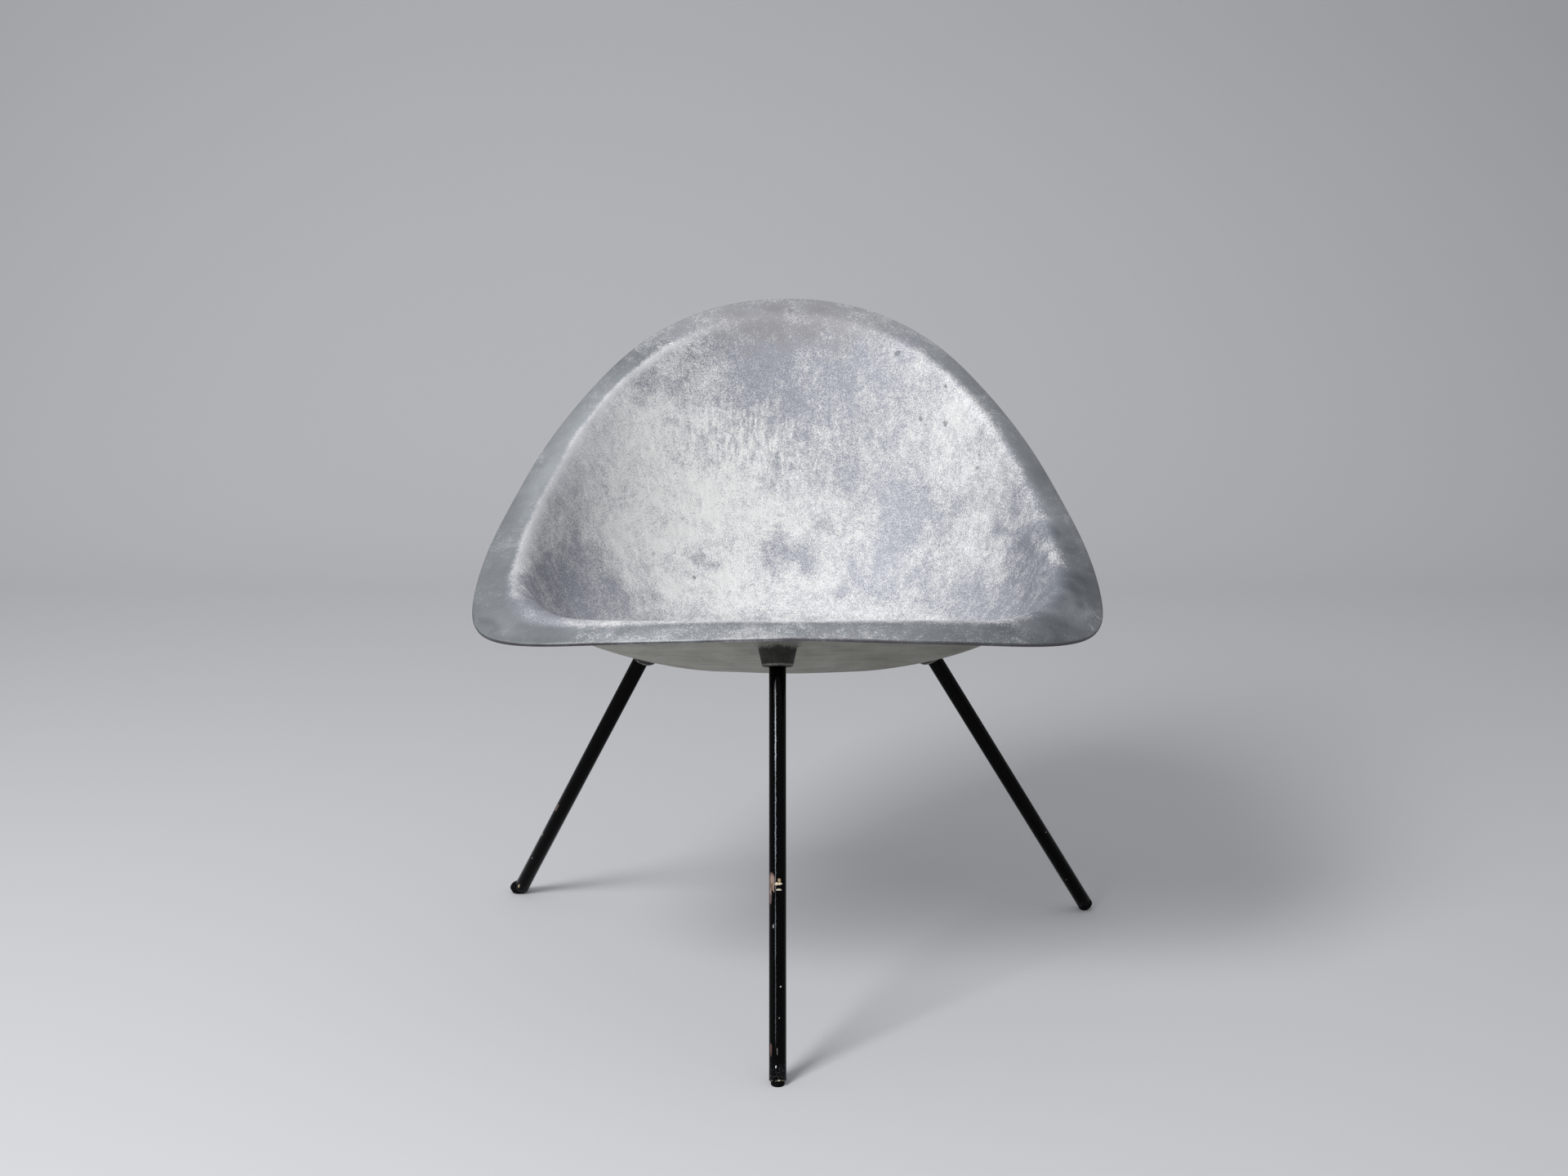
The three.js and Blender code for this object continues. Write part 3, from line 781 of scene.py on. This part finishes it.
def dressed_seat():
    """The seat, with where each part of its finish lies stored at every point.

    Outward runs from nought in the middle of the dish to one at the rim and under it. The bare lip is a
    smooth step along it, the crest's painted highlight a bell across it, and the arris's painted highlight
    and the painted shade in the groove are bells across the rings of the edge; the rest of the edge gets
    painted shade.
    """
    piece = solid_of_rings("seat_casting", dish_middle + SHIFT, seat_rings + SHIFT, belly_middle + SHIFT)
    points = np.concatenate([dish_middle[None], seat_rings.reshape(-1, 3), belly_middle[None]]) + PATCH_SHIFT
    side, back, height = points.T
    past = np.ones((len(seat_rings) - SEAT_ROWS, SEAT_COLUMNS))
    rows = np.broadcast_to(seat_shares, (SEAT_ROWS, SEAT_COLUMNS))
    outward = np.concatenate([[0], rows.ravel(), past.ravel(), [1]])
    outward = outward + waves(points, SWELL_SEED, SWELL_LENGTHS) * BAND_WOBBLE
    right = smooth_step(side, *RIGHT_SPAN)
    left = smooth_step(side, *LEFT_SPAN)
    front = smooth_step(back, *FRONT_SPAN)
    low = smooth_step(height, *LOW_SPAN)

    start = LIP_START + (CREST_LOW_SHIFT * low - LIP_LEFT_SHIFT) * left
    softness = LIP_SOFTNESS + LIP_RIGHT_SOFTNESS * right
    lip = smooth_step(outward, start - softness, start + softness)
    lip = lip * (1 - LIP_TOP_COVER * smooth_step(height, *LIP_TOP_HEIGHTS))
    lip = lip * (1 - LIP_FRONT_COVER * front * np.exp(-((side / LIP_FRONT_REACH) ** 2)))
    crest = np.exp(-(((outward - CREST_SHARE - CREST_LOW_SHIFT * low) / CREST_BAND) ** 2))
    stray = np.stack([waves(points, seed, PATCH_LENGTHS) for seed in PATCH_SEEDS], -1)
    ragged = points + PATCH_RAGGED * stray
    lean = LEAN_LIMIT * np.tanh(pull_at(ragged, OXIDE_PATCHES) / LEAN_LIMIT)

    ring = np.concatenate([[0], np.repeat(np.arange(len(seat_rings)), SEAT_COLUMNS), [len(seat_rings)]])
    arris_ring = SEAT_ROWS + 1
    groove_ring = SEAT_ROWS + ROUND_ROWS
    lit_arris = smooth_step(back, *ARRIS_FRONT_SPAN) * smooth_step(side, *ARRIS_RIGHT_SPAN)
    lit_arris = lit_arris * smooth_step(side, *ARRIS_LEFT_SPAN)
    for name, values in (
        ("oxide", lean + lip * (LIP_LEAN + LIP_FRONT_LEAN * front)),
        ("lip", lip),
        # The crest attribute is a painted highlight, laid only on the left, which faces the lamp
        ("crest", crest * left * (1 - CREST_LOW_LOSS * low)),
        ("shade", pull_at(ragged, PAINTED_LIGHT_AND_SHADE_PATCHES)),
        ("drips", pull_at(ragged, DRIP_PATCHES)),
        ("warm", pull_at(ragged, WARM_PATCHES)),
        # The arris attribute is a painted highlight, the edge and groove attributes painted shade
        ("arris", np.exp(-((ring - arris_ring) / ARRIS_WIDTH) ** 2) * lit_arris),
        ("edge", ((ring >= SEAT_ROWS) & (ring < UNDER_START)) * (1 - lit_arris)),
        ("groove", np.exp(-((ring - groove_ring) / GROOVE_WIDTH) ** 2)),
    ):
        set_attribute(piece, name, values)

    piece.data.materials.append(patinated_casting())
    piece.data.materials.append(fettled_casting())
    index = np.zeros(len(piece.data.polygons), int)
    ring_of = np.arange((len(seat_rings) - 1) * SEAT_COLUMNS) // SEAT_COLUMNS
    index[: len(ring_of)] = ring_of >= UNDER_START
    index[-SEAT_COLUMNS:] = 1
    piece.data.polygons.foreach_set("material_index", index)
    return piece


def patinated_casting():
    """Bare cast aluminium, hand polished once and left outdoors.

    A dull blue-grey metal lies under a pale, powdery oxide that breaks up into fine specks, with drips down
    the back, a bare lip and small casting pits. A painted highlight lies along the left crest and the arris
    of the front lip, and painted light and shade over the lips, in the groove and round the edge.
    """
    m, place = new_material("patinated cast aluminium")
    names = ("oxide", "lip", "crest", "shade", "drips", "warm", "arris", "edge", "groove")
    oxide, lip, crest, shade, drips, warm, arris, edge, groove = (
        add(m, "Attribute", attribute_name=name, out="Fac") for name in names
    )

    wander = add(m, "TexNoise", Vector=place, Scale=1 / (30 * MM), Detail=3.0, out="Color")
    wander = add(m, "VectorMath", wander, NOISE_MIDDLE, operation="SUBTRACT")
    warped = add(m, "VectorMath", wander, (0.02, 0.02, 0.02), place, operation="MULTIPLY_ADD")
    falling = add(m, "VectorMath", wander, (0.006, 0.006, 0.0), place, operation="MULTIPLY_ADD")
    falling = add(m, "VectorMath", falling, (1, 1, 0.17), operation="MULTIPLY")

    clouds = add(m, "TexNoise", Vector=warped, Scale=1 / (44 * MM), Detail=5.0, Roughness=0.6)
    mottle = add(m, "TexNoise", Vector=warped, Scale=1 / (9 * MM), Detail=4.0, Roughness=0.75)
    runs = add(m, "TexNoise", Vector=falling, Scale=1 / (5 * MM), Detail=4.0, Roughness=0.7)
    runs = add(m, "Math", runs, 0.5, operation="SUBTRACT")
    grain = add(m, "TexNoise", Vector=place, Scale=1 / (1.3 * MM), Detail=2.0, Roughness=0.7)
    broken = add(m, "TexNoise", Vector=place, Scale=1 / (38 * MM), Detail=5.0, Roughness=0.7)

    run_pull = add(m, "Math", drips, DRIP_PULL, RUN_PULL, operation="MULTIPLY_ADD")
    score = oxide
    for pattern, pull in ((clouds, CLOUD_PULL), (mottle, MOTTLE_PULL), (runs, run_pull), (grain, GRAIN_PULL)):
        score = add(m, "Math", pattern, pull, score, operation="MULTIPLY_ADD")
    half_way = 0.5 * (CLOUD_PULL + MOTTLE_PULL + GRAIN_PULL) + RAMP_SHIFT
    cover = add(m, "MapRange", Value=score, From_Min=half_way - RAMP, From_Max=half_way + RAMP)

    # The shade attribute lays painted light and shade on the film here and on the bare lip below
    film = add(m, "Math", shade, 0.4, grain, operation="MULTIPLY_ADD")
    film = add(m, "MapRange", Value=film, From_Min=0.25, From_Max=0.75)
    film = add(m, "Mix", Factor=film, A="#7b7f88", B="#b0b3bb")
    film = add(m, "Mix", Factor=warm, A=film, B="#999799")
    lip_tone = add(m, "Math", mottle, 0.2, operation="MULTIPLY")
    for pattern, pull in ((clouds, 0.4), (shade, 0.5), (grain, 0.3)):
        lip_tone = add(m, "Math", pattern, pull, lip_tone, operation="MULTIPLY_ADD")
    lip_tone = add(m, "MapRange", Value=lip_tone, From_Min=-0.05, From_Max=0.95)
    bare_lip = add(m, "Mix", Factor=lip_tone, A="#5d6266", B="#bfc4c8")
    film = add(m, "Mix", Factor=lip, A=film, B=bare_lip)
    powder = add(m, "Math", runs, 0.8, grain, operation="MULTIPLY_ADD")
    powder = add(m, "MapRange", Value=powder, From_Min=0.3, From_Max=0.7)
    powder = add(m, "Mix", Factor=powder, A="#d2d2d1", B="#e6e6e5")
    colour = add(m, "Mix", Factor=cover, A=film, B=powder)

    fray = add(m, "TexNoise", Vector=place, Scale=1 / (4 * MM), Detail=2.0, out="Color")
    fray = add(m, "VectorMath", fray, NOISE_MIDDLE, operation="SUBTRACT")
    frayed = add(m, "VectorMath", fray, (0.008, 0.008, 0.008), place, operation="MULTIPLY_ADD")
    pit = 0.0
    for middle, radius in PITS:
        middle = tuple((np.array(middle) - PATCH_SHIFT + SHIFT) * MM)
        away = add(m, "VectorMath", frayed, middle, operation="DISTANCE")
        near = add(m, "MapRange", Value=away, From_Min=0.7 * radius * MM, From_Max=1.4 * radius * MM,
                   To_Min=1.0, To_Max=0.0, interpolation_type="SMOOTHSTEP")
        pit = add(m, "Math", pit, near, operation="MAXIMUM")

    # The crest's lighter colour below is a painted highlight, broken up by the clouds
    crest_highlight = add(m, "MapRange", Value=clouds, To_Min=0.55, To_Max=1.0)
    # Painted highlight on the arris, painted shade in the groove and round the edge, each broken up by a
    # noise
    wear_and_highlight = add(m, "MapRange", Value=broken, From_Min=0.44, From_Max=0.56, interpolation_type="SMOOTHSTEP")
    groove_shade = add(m, "MapRange", Value=broken, From_Min=0.62, From_Max=0.4, To_Min=0.35, To_Max=0.9)
    edge_shade = add(m, "MapRange", Value=broken, From_Min=0.65, From_Max=0.4, To_Min=0.5, To_Max=0.9)
    for where, strength, paint in (
        (crest, crest_highlight, "#c6c7ca"),
        (pit, 0.6, "#62656a"),
        (arris, wear_and_highlight, "#d3d4d8"),
        (groove, groove_shade, "#3f3d3f"),
        (edge, edge_shade, "#58565a"),
    ):
        share = add(m, "Math", where, strength, operation="MULTIPLY")
        colour = add(m, "Mix", Factor=share, A=colour, B=paint)

    bare = add(m, "Math", 1.0, cover, operation="SUBTRACT")
    metal = add(m, "MapRange", Value=lip, To_Min=0.4, To_Max=0.85)
    metallic = add(m, "MapRange", Value=bare, To_Min=0.25, To_Max=metal)
    smooth = add(m, "MapRange", Value=lip, To_Min=0.62, To_Max=0.45)
    roughness = add(m, "MapRange", Value=cover, To_Min=smooth, To_Max=0.77)
    relief = add(m, "Math", grain, cover, operation="ADD")
    flattened = add(m, "MapRange", Value=lip, To_Min=1.0, To_Max=0.3)
    relief = add(m, "Math", relief, flattened, operation="MULTIPLY")
    relief = add(m, "Math", pit, -5.0, relief, operation="MULTIPLY_ADD")
    bump = add(m, "Bump", Strength=0.5, Distance=0.12 * MM, Height=relief)
    return finish_material(m, Base_Color=colour, Metallic=metallic, Roughness=roughness, Normal=bump)


def fettled_casting():
    """The underside as it left the sand, ground over by hand.

    The metal is olive-grey with fine marks from side to side, with painted shade that darkens it to the
    right, and a pale bloom higher up the back, where the rain reaches it.
    """
    m, place = new_material("fettled cast aluminium")
    along = add(m, "VectorMath", place, (0.06, 0.5, 1), operation="MULTIPLY")
    marks = add(m, "TexNoise", Vector=along, Scale=1 / (2.2 * MM), Detail=4.0, Roughness=0.6)
    stains = add(m, "TexNoise", Vector=place, Scale=1 / (45 * MM), Detail=5.0, Roughness=0.6)
    tone = add(m, "Math", marks, 0.5, stains, operation="MULTIPLY_ADD")
    share = add(m, "MapRange", Value=tone, From_Min=0.58, From_Max=1.0)
    colour = add(m, "Mix", Factor=share, A="#8d8c83", B="#b2b1a8")
    # Painted shade: the belly darkens towards the right, away from the lamp
    side = add(m, "SeparateXYZ", place, out="X")
    painted_shade_right = add(m, "MapRange", Value=side, From_Min=-40 * MM, From_Max=160 * MM, To_Max=0.45)
    colour = add(m, "Mix", Factor=painted_shade_right, A=colour, B="#66645a")
    height = add(m, "SeparateXYZ", place, out="Z")
    weathered = add(m, "MapRange", Value=height, From_Min=430 * MM, From_Max=560 * MM, To_Max=0.42)
    specks = add(m, "TexNoise", Vector=place, Scale=1 / (7 * MM), Detail=5.0, Roughness=0.7)
    bloom = add(m, "Math", stains, 1.2, specks, operation="MULTIPLY_ADD")
    bloom = add(m, "MapRange", Value=bloom, From_Min=0.95, From_Max=1.4, To_Max=weathered)
    colour = add(m, "Mix", Factor=bloom, A=colour, B="#cdcdca")
    bump = add(m, "Bump", Strength=0.6, Distance=0.12 * MM, Height=marks)
    return finish_material(m, Base_Color=colour, Metallic=0.7, Roughness=0.55, Normal=bump)


# Bosses' finish in millimetres: how far the bright ring fades out on either side, how far down from the seat
# they are ground, and how ragged that border is
BOSS_RING = 1.35
BOSS_GROUND = 7
BOSS_RAGGED = 14


def boss_skin():
    """A boss as it was cast, dark with sand scale and black overspray.

    It is ground pale where it meets the seat and faced bright round its lower end.
    """
    m, place = new_material("as-cast aluminium boss")
    from_seat = add(m, "Attribute", attribute_name="from_seat", out="Fac")
    scale = add(m, "TexNoise", Vector=place, Scale=1 / (9 * MM), Detail=5.0, Roughness=0.65)
    grit = add(m, "TexNoise", Vector=place, Scale=1 / (1.2 * MM), Detail=2.0, Roughness=0.6)
    sooty = add(m, "Math", grit, 0.35, scale, operation="MULTIPLY_ADD")
    sooty = add(m, "MapRange", Value=sooty, From_Min=0.45, From_Max=0.9)
    skin = add(m, "Mix", Factor=sooty, A="#191a19", B="#3f403a")
    ragged = add(m, "Math", scale, BOSS_RAGGED, from_seat, operation="MULTIPLY_ADD")
    ragged = add(m, "Math", grit, 0.4 * BOSS_RAGGED, ragged, operation="MULTIPLY_ADD")
    ground = add(m, "MapRange", Value=ragged, From_Min=BOSS_GROUND + 0.85 * BOSS_RAGGED,
                 From_Max=BOSS_GROUND + 0.5 * BOSS_RAGGED, interpolation_type="SMOOTHSTEP")
    pale = add(m, "Mix", Factor=grit, A="#5c5d56", B="#a5a69e")
    colour = add(m, "Mix", Factor=ground, A=skin, B=pale)
    from_end = add(m, "Attribute", attribute_name="from_end", out="Fac")
    from_ring = add(m, "Math", from_end, BOSS_EDGE, operation="SUBTRACT")
    from_ring = add(m, "Math", from_ring, operation="ABSOLUTE")
    faced = add(m, "MapRange", Value=from_ring, From_Max=BOSS_RING, To_Min=1.0, To_Max=0.0)
    broken = add(m, "MapRange", Value=scale, From_Min=0.35, From_Max=0.55)
    faced = add(m, "Math", faced, broken, operation="MULTIPLY")
    colour = add(m, "Mix", Factor=faced, A=colour, B="#8e8d86")
    relief = add(m, "Math", scale, grit, operation="ADD")
    bump = add(m, "Bump", Strength=0.8, Distance=0.2 * MM, Height=relief)
    return finish_material(m, Base_Color=colour, Metallic=0.4, Roughness=0.65, Normal=bump)


# Paint chips, with a painted highlight down the front leg and a painted sheen low on the left leg laid in the
# same
# way: side from the leg's axis and height along it, half sizes in millimetres, and colour. A later one lies
# on top.
FRONT_CHIPS_AND_HIGHLIGHT = (
    ((-6.2, 185), (3.4, 8.5), "#69574f"),
    ((-7.0, 171), (1.6, 8), "#5d4f4b"),
    ((-5.6, 187), (1.2, 4), "#8d7d74"),
    ((-6.6, 176), (0.9, 3), "#82756f"),
    ((-3.6, 183), (0.7, 8), "#8a7468"),
    ((-1.0, 183), (1.6, 1.4), "#cdbfa6"),
    ((1.6, 186), (1.5, 1.7), "#a5906f"),
    ((2.3, 183), (2.0, 0.9), "#d8ccb2"),
    ((1.2, 177.5), (2.4, 0.8), "#c9c1ad"),
    ((-4.0, 144), (0.5, 1.6), "#8d8f90"),
    # These four long pale lines are a painted highlight: the lamp's streak down the glossy front tube
    ((-1.9, 318), (0.5, 48), "#a4abb1"),
    ((-1.9, 238), (0.4, 60), "#7b8288"),
    ((-2.0, 138), (0.35, 36), "#636a70"),
    ((-1.9, 72), (0.3, 36), "#4c5256"),
    ((2.7, 89), (0.5, 0.7), "#dcdcd8"),
    ((1.4, 60.5), (0.4, 0.5), "#b9b9b5"),
    ((-6.3, 32), (0.9, 6.5), "#5d4743"),
    ((-0.4, 30.5), (0.4, 3.4), "#6b6a6a"),
    ((-1.7, 16.7), (0.5, 1.1), "#e3e4e6"),
    ((1.2, 4.3), (1.3, 0.6), "#b3ab93"),
    ((-1.5, 4.0), (0.8, 0.4), "#8b8371"),
    ((4.5, 4.1), (0.9, 0.4), "#8b8371"),
    ((-5.5, 4.3), (0.6, 0.5), "#6f6a60"),
)
LEFT_CHIPS_AND_SHEEN = (
    ((-6.6, 141), (0.9, 6), "#6a5a55"),
    ((-7.2, 96), (0.6, 2.2), "#9b958b"),
    ((-3.9, 14.5), (0.75, 2.4), "#bda684"),
    # This thin brown line at the tube's lower end is a painted sheen
    ((-1.5, 8.6), (2.4, 0.4), "#3d332b"),
    ((-5.2, 60), (0.4, 0.8), "#a9a59c"),
)
RIGHT_CHIPS = (
    ((5.2, 118), (0.4, 0.9), "#8f8c86"),
    ((-3.0, 52), (0.4, 0.6), "#8f8c86"),
)
# How far a chip's outline strays, and how fast it ends per millimetre towards the back of the tube
CHIP_FRAY = 2.2
CHIP_FALL = 0.14
# The heights between which the paint is scuffed, from none to full
SCUFF_HEIGHTS = (24, 4)


def black_enamel(name, chips_and_painted_light):
    """Brushed-on black enamel over steel tube.

    It is a hard gloss with slow sags, chipped to the primer and to bare metal, and scuffed dull grey near the
    floor. The chip tables also lay a painted highlight down the front leg and a painted sheen low on the left
    leg.
    """
    m, place = new_material(name)
    leg_place = add(m, "Attribute", attribute_name="leg_place", out="Vector")
    sags = add(m, "TexNoise", Vector=place, Scale=1 / (9 * MM), Detail=3.0)
    dust = add(m, "TexNoise", Vector=place, Scale=1 / (1.1 * MM), Detail=3.0, Roughness=0.7)
    colour = add(m, "Mix", Factor=dust, A="#010102", B="#050506")
    height = add(m, "SeparateXYZ", leg_place, out="Z")
    start, full = SCUFF_HEIGHTS
    low = add(m, "MapRange", Value=height, From_Min=start, From_Max=full, interpolation_type="SMOOTHSTEP")
    speckle = add(m, "MapRange", Value=dust, From_Min=0.58, From_Max=0.7)
    scuffed = add(m, "Math", low, speckle, operation="MULTIPLY")
    colour = add(m, "Mix", Factor=scuffed, A=colour, B="#8c8d90")

    fray = add(m, "TexNoise", Vector=place, Scale=1 / (1.8 * MM), Detail=3.0, Roughness=0.7, out="Color")
    fray = add(m, "VectorMath", fray, NOISE_MIDDLE, operation="SUBTRACT")
    frayed = add(m, "VectorMath", fray, (CHIP_FRAY, 0, CHIP_FRAY), leg_place, operation="MULTIPLY_ADD")
    bare = 0.0
    # Each entry is painted like a chip; the front leg's long lines are painted highlight, the left leg's low
    # brown line painted sheen
    for middle, half, paint in chips_and_painted_light:
        away = add(m, "VectorMath", frayed, (middle[0], -TUBE_RADIUS, middle[1]), operation="SUBTRACT")
        away = add(m, "VectorMath", away, (1 / half[0], CHIP_FALL, 1 / half[1]), operation="MULTIPLY")
        away = add(m, "VectorMath", away, operation="LENGTH", out="Value")
        chip_and_painted_light = add(m, "MapRange", Value=away, From_Min=1.12, From_Max=0.94)
        colour = add(m, "Mix", Factor=chip_and_painted_light, A=colour, B=paint)
        bare = add(m, "Math", bare, chip_and_painted_light, operation="MAXIMUM")
    roughness = add(m, "MapRange", Value=dust, From_Min=0.35, From_Max=0.75, To_Min=0.05, To_Max=0.12)
    roughness = add(m, "MapRange", Value=low, To_Min=roughness, To_Max=0.3)
    roughness = add(m, "MapRange", Value=bare, To_Min=roughness, To_Max=0.7)
    relief = add(m, "Math", bare, -0.25, sags, operation="MULTIPLY_ADD")
    bump = add(m, "Bump", Strength=0.5, Distance=0.3 * MM, Height=relief)
    return finish_material(
        m, Base_Color=colour, Roughness=roughness, IOR=1.5, Specular_IOR_Level=0.055, Normal=bump,
    )


def moulded_rubber():
    """Moulded black rubber, soft and dull, with a fine grain and grey scuffs."""
    m, place = new_material("moulded black rubber")
    grain = add(m, "TexNoise", Vector=place, Scale=1 / (0.8 * MM), Detail=3.0)
    rubs = add(m, "TexNoise", Vector=place, Scale=1 / (5 * MM), Detail=4.0, Roughness=0.7)
    scuff = add(m, "MapRange", Value=rubs, From_Min=0.56, From_Max=0.72)
    colour = add(m, "Mix", Factor=scuff, A="#040405", B="#161514")
    bump = add(m, "Bump", Strength=0.5, Distance=0.1 * MM, Height=grain)
    return finish_material(
        m, Base_Color=colour, Roughness=0.55, IOR=1.5, Specular_IOR_Level=0.07, Normal=bump,
    )


def turned_steel():
    """Plain steel turned on a lathe: a bright grey with a fine, faint grain."""
    m, place = new_material("turned steel")
    grain = add(m, "TexNoise", Vector=place, Scale=1 / (0.5 * MM), Detail=2.0)
    colour = add(m, "Mix", Factor=grain, A="#8e9092", B="#a9abad")
    return finish_material(m, Base_Color=colour, Metallic=1.0, Roughness=0.35)


def pale_paint(colour):
    """Matt studio paint with painted shade: it falls off a little towards the top, the sides and the right,
    as a lit sweep does.
    """
    m, place = new_material("matt studio paint")
    mottle = add(m, "TexNoise", Vector=place, Scale=4.0, Detail=3.0)
    side = add(m, "SeparateXYZ", place, out="X")
    rise = add(m, "SeparateXYZ", place, out="Z")
    far_side = add(m, "Math", side, side, operation="MULTIPLY")
    # Painted shade: darker towards the top, the sides and a little to the right
    shade = 1.0
    for pattern, pull in ((far_side, -0.035), (side, -0.01), (rise, -0.045), (mottle, 0.01)):
        shade = add(m, "Math", pattern, pull, shade, operation="MULTIPLY_ADD")
    paint = add(m, "VectorMath", linear(colour)[:3], operation="SCALE", Scale=shade)
    return finish_material(m, Base_Color=paint, Roughness=0.9, Specular_IOR_Level=0.2)


def dress():
    casting = dressed_seat()
    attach(casting, "root")
    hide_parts("seat_shell")
    skin = boss_skin()
    bosses = (("front_boss", front_leg), ("left_rear_boss", left_leg), ("right_rear_boss", right_leg))
    for name, leg in bosses:
        piece = boss(name, leg)
        piece.data.materials.append(skin)
        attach(piece, "root")

    right_lift = right_head_end() + RIGHT_HEAD_LENGTH
    for name, leg, lift, chips_and_painted_light in (
        ("front_leg_tube", front_leg, FRONT_TUBE_LIFT, FRONT_CHIPS_AND_HIGHLIGHT),
        ("left_rear_leg_tube", left_leg, LEFT_TUBE_LIFT, LEFT_CHIPS_AND_SHEEN),
        ("right_rear_leg_tube", right_leg, right_lift, RIGHT_CHIPS),
    ):
        piece = leg_tube(name + "_painted", leg, lift)
        piece.data.materials.append(black_enamel("black enamel on " + name.replace("_", " "), chips_and_painted_light))
        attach(piece, "root")
        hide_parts(name)

    rubber = moulded_rubber()
    for name, piece in (
        ("front_foot_plug", front_plug()),
        ("left_rear_foot_button", left_button()),
        ("right_rear_foot_plug", right_plug()),
    ):
        piece.data.materials.clear()
        piece.data.materials.append(rubber)
        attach(piece, "root")
        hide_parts(name)

    steel = turned_steel()
    for name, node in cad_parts.items():
        if name.endswith("insert"):
            node.data.materials.clear()
            node.data.materials.append(steel)


# The photograph's camera from the zero of the seat's own frame: its side and back along its own heading, its
# height, how far it turns to the left and looks down in degrees, its lens and the width of its frame
CAMERA_SIDE = -3
CAMERA_BACK = -1939
CAMERA_HEIGHT = 922
CAMERA_TURN = 0.1
CAMERA_TILT = 13.16
CAMERA_LENS = 52.5
CAMERA_FRAME = 36


def camera():
    """The photograph's camera, just under a metre up and looking a little down on the seat."""
    turn, tilt = np.radians((CAMERA_TURN, CAMERA_TILT))
    right = np.array([np.cos(turn), np.sin(turn), 0])
    ahead = np.array([-np.sin(turn), np.cos(turn), 0])
    place = (CAMERA_BACK * ahead + CAMERA_SIDE * right + np.array([0, 0, CAMERA_HEIGHT]) + SHIFT) * MM
    look = ahead * np.cos(tilt) - np.array([0, 0, np.sin(tilt)])
    axes = np.stack([right, np.cross(right, look), -look, place], -1)
    data = bpy.data.cameras.new("camera")
    data.sensor_width = CAMERA_FRAME
    data.lens = CAMERA_LENS
    eye = bpy.data.objects.new("camera", data)
    eye.matrix_world = Matrix([*axes.tolist(), (0, 0, 0, 1)])
    bpy.context.scene.collection.objects.link(eye)
    bpy.context.scene.camera = eye


# The soft lamp in metres: its place, what it is turned to, and its width and height
KEY_PLACE = (-1.64, -1.83, 2.6)
KEY_TARGET = (0, 0.05, 0.45)
KEY_SIZE = (1.0, 1.3)
KEY_WATTS = 90

# The room's own light, and how it leans to the right, to the back and upwards
ROOM_LIGHT = 1.0
ROOM_LEAN = (0.0, 0.1, 0.25)


def lights():
    """One large soft lamp high at the front left, in a pale room that is a little brighter above."""
    data = bpy.data.lights.new("key", "AREA")
    data.shape = "RECTANGLE"
    data.size, data.size_y = KEY_SIZE
    data.energy = KEY_WATTS
    lamp = bpy.data.objects.new("key", data)
    lamp.location = KEY_PLACE
    lamp.rotation_euler = (Vector(KEY_TARGET) - Vector(KEY_PLACE)).to_track_quat("-Z", "Y").to_euler()
    lamp.visible_camera = False
    bpy.context.scene.collection.objects.link(lamp)

    world = bpy.data.worlds.new("studio")
    bpy.context.scene.world = world
    world.use_nodes = True
    world.node_tree.nodes.clear()
    heading = add(world, "TexCoord", out="Generated")
    lean = add(world, "VectorMath", heading, ROOM_LEAN, operation="DOT_PRODUCT", out="Value")
    strength = add(world, "Math", lean, ROOM_LIGHT, operation="ADD")
    room = add(world, "Background", Color="#bebec0", Strength=strength)
    add(world, "OutputWorld", Surface=room)


dress()
sweep = studio()
sweep.data.materials.append(pale_paint("#c3c4c7"))
camera()
lights()
bpy.context.scene.view_settings.view_transform = "Standard"
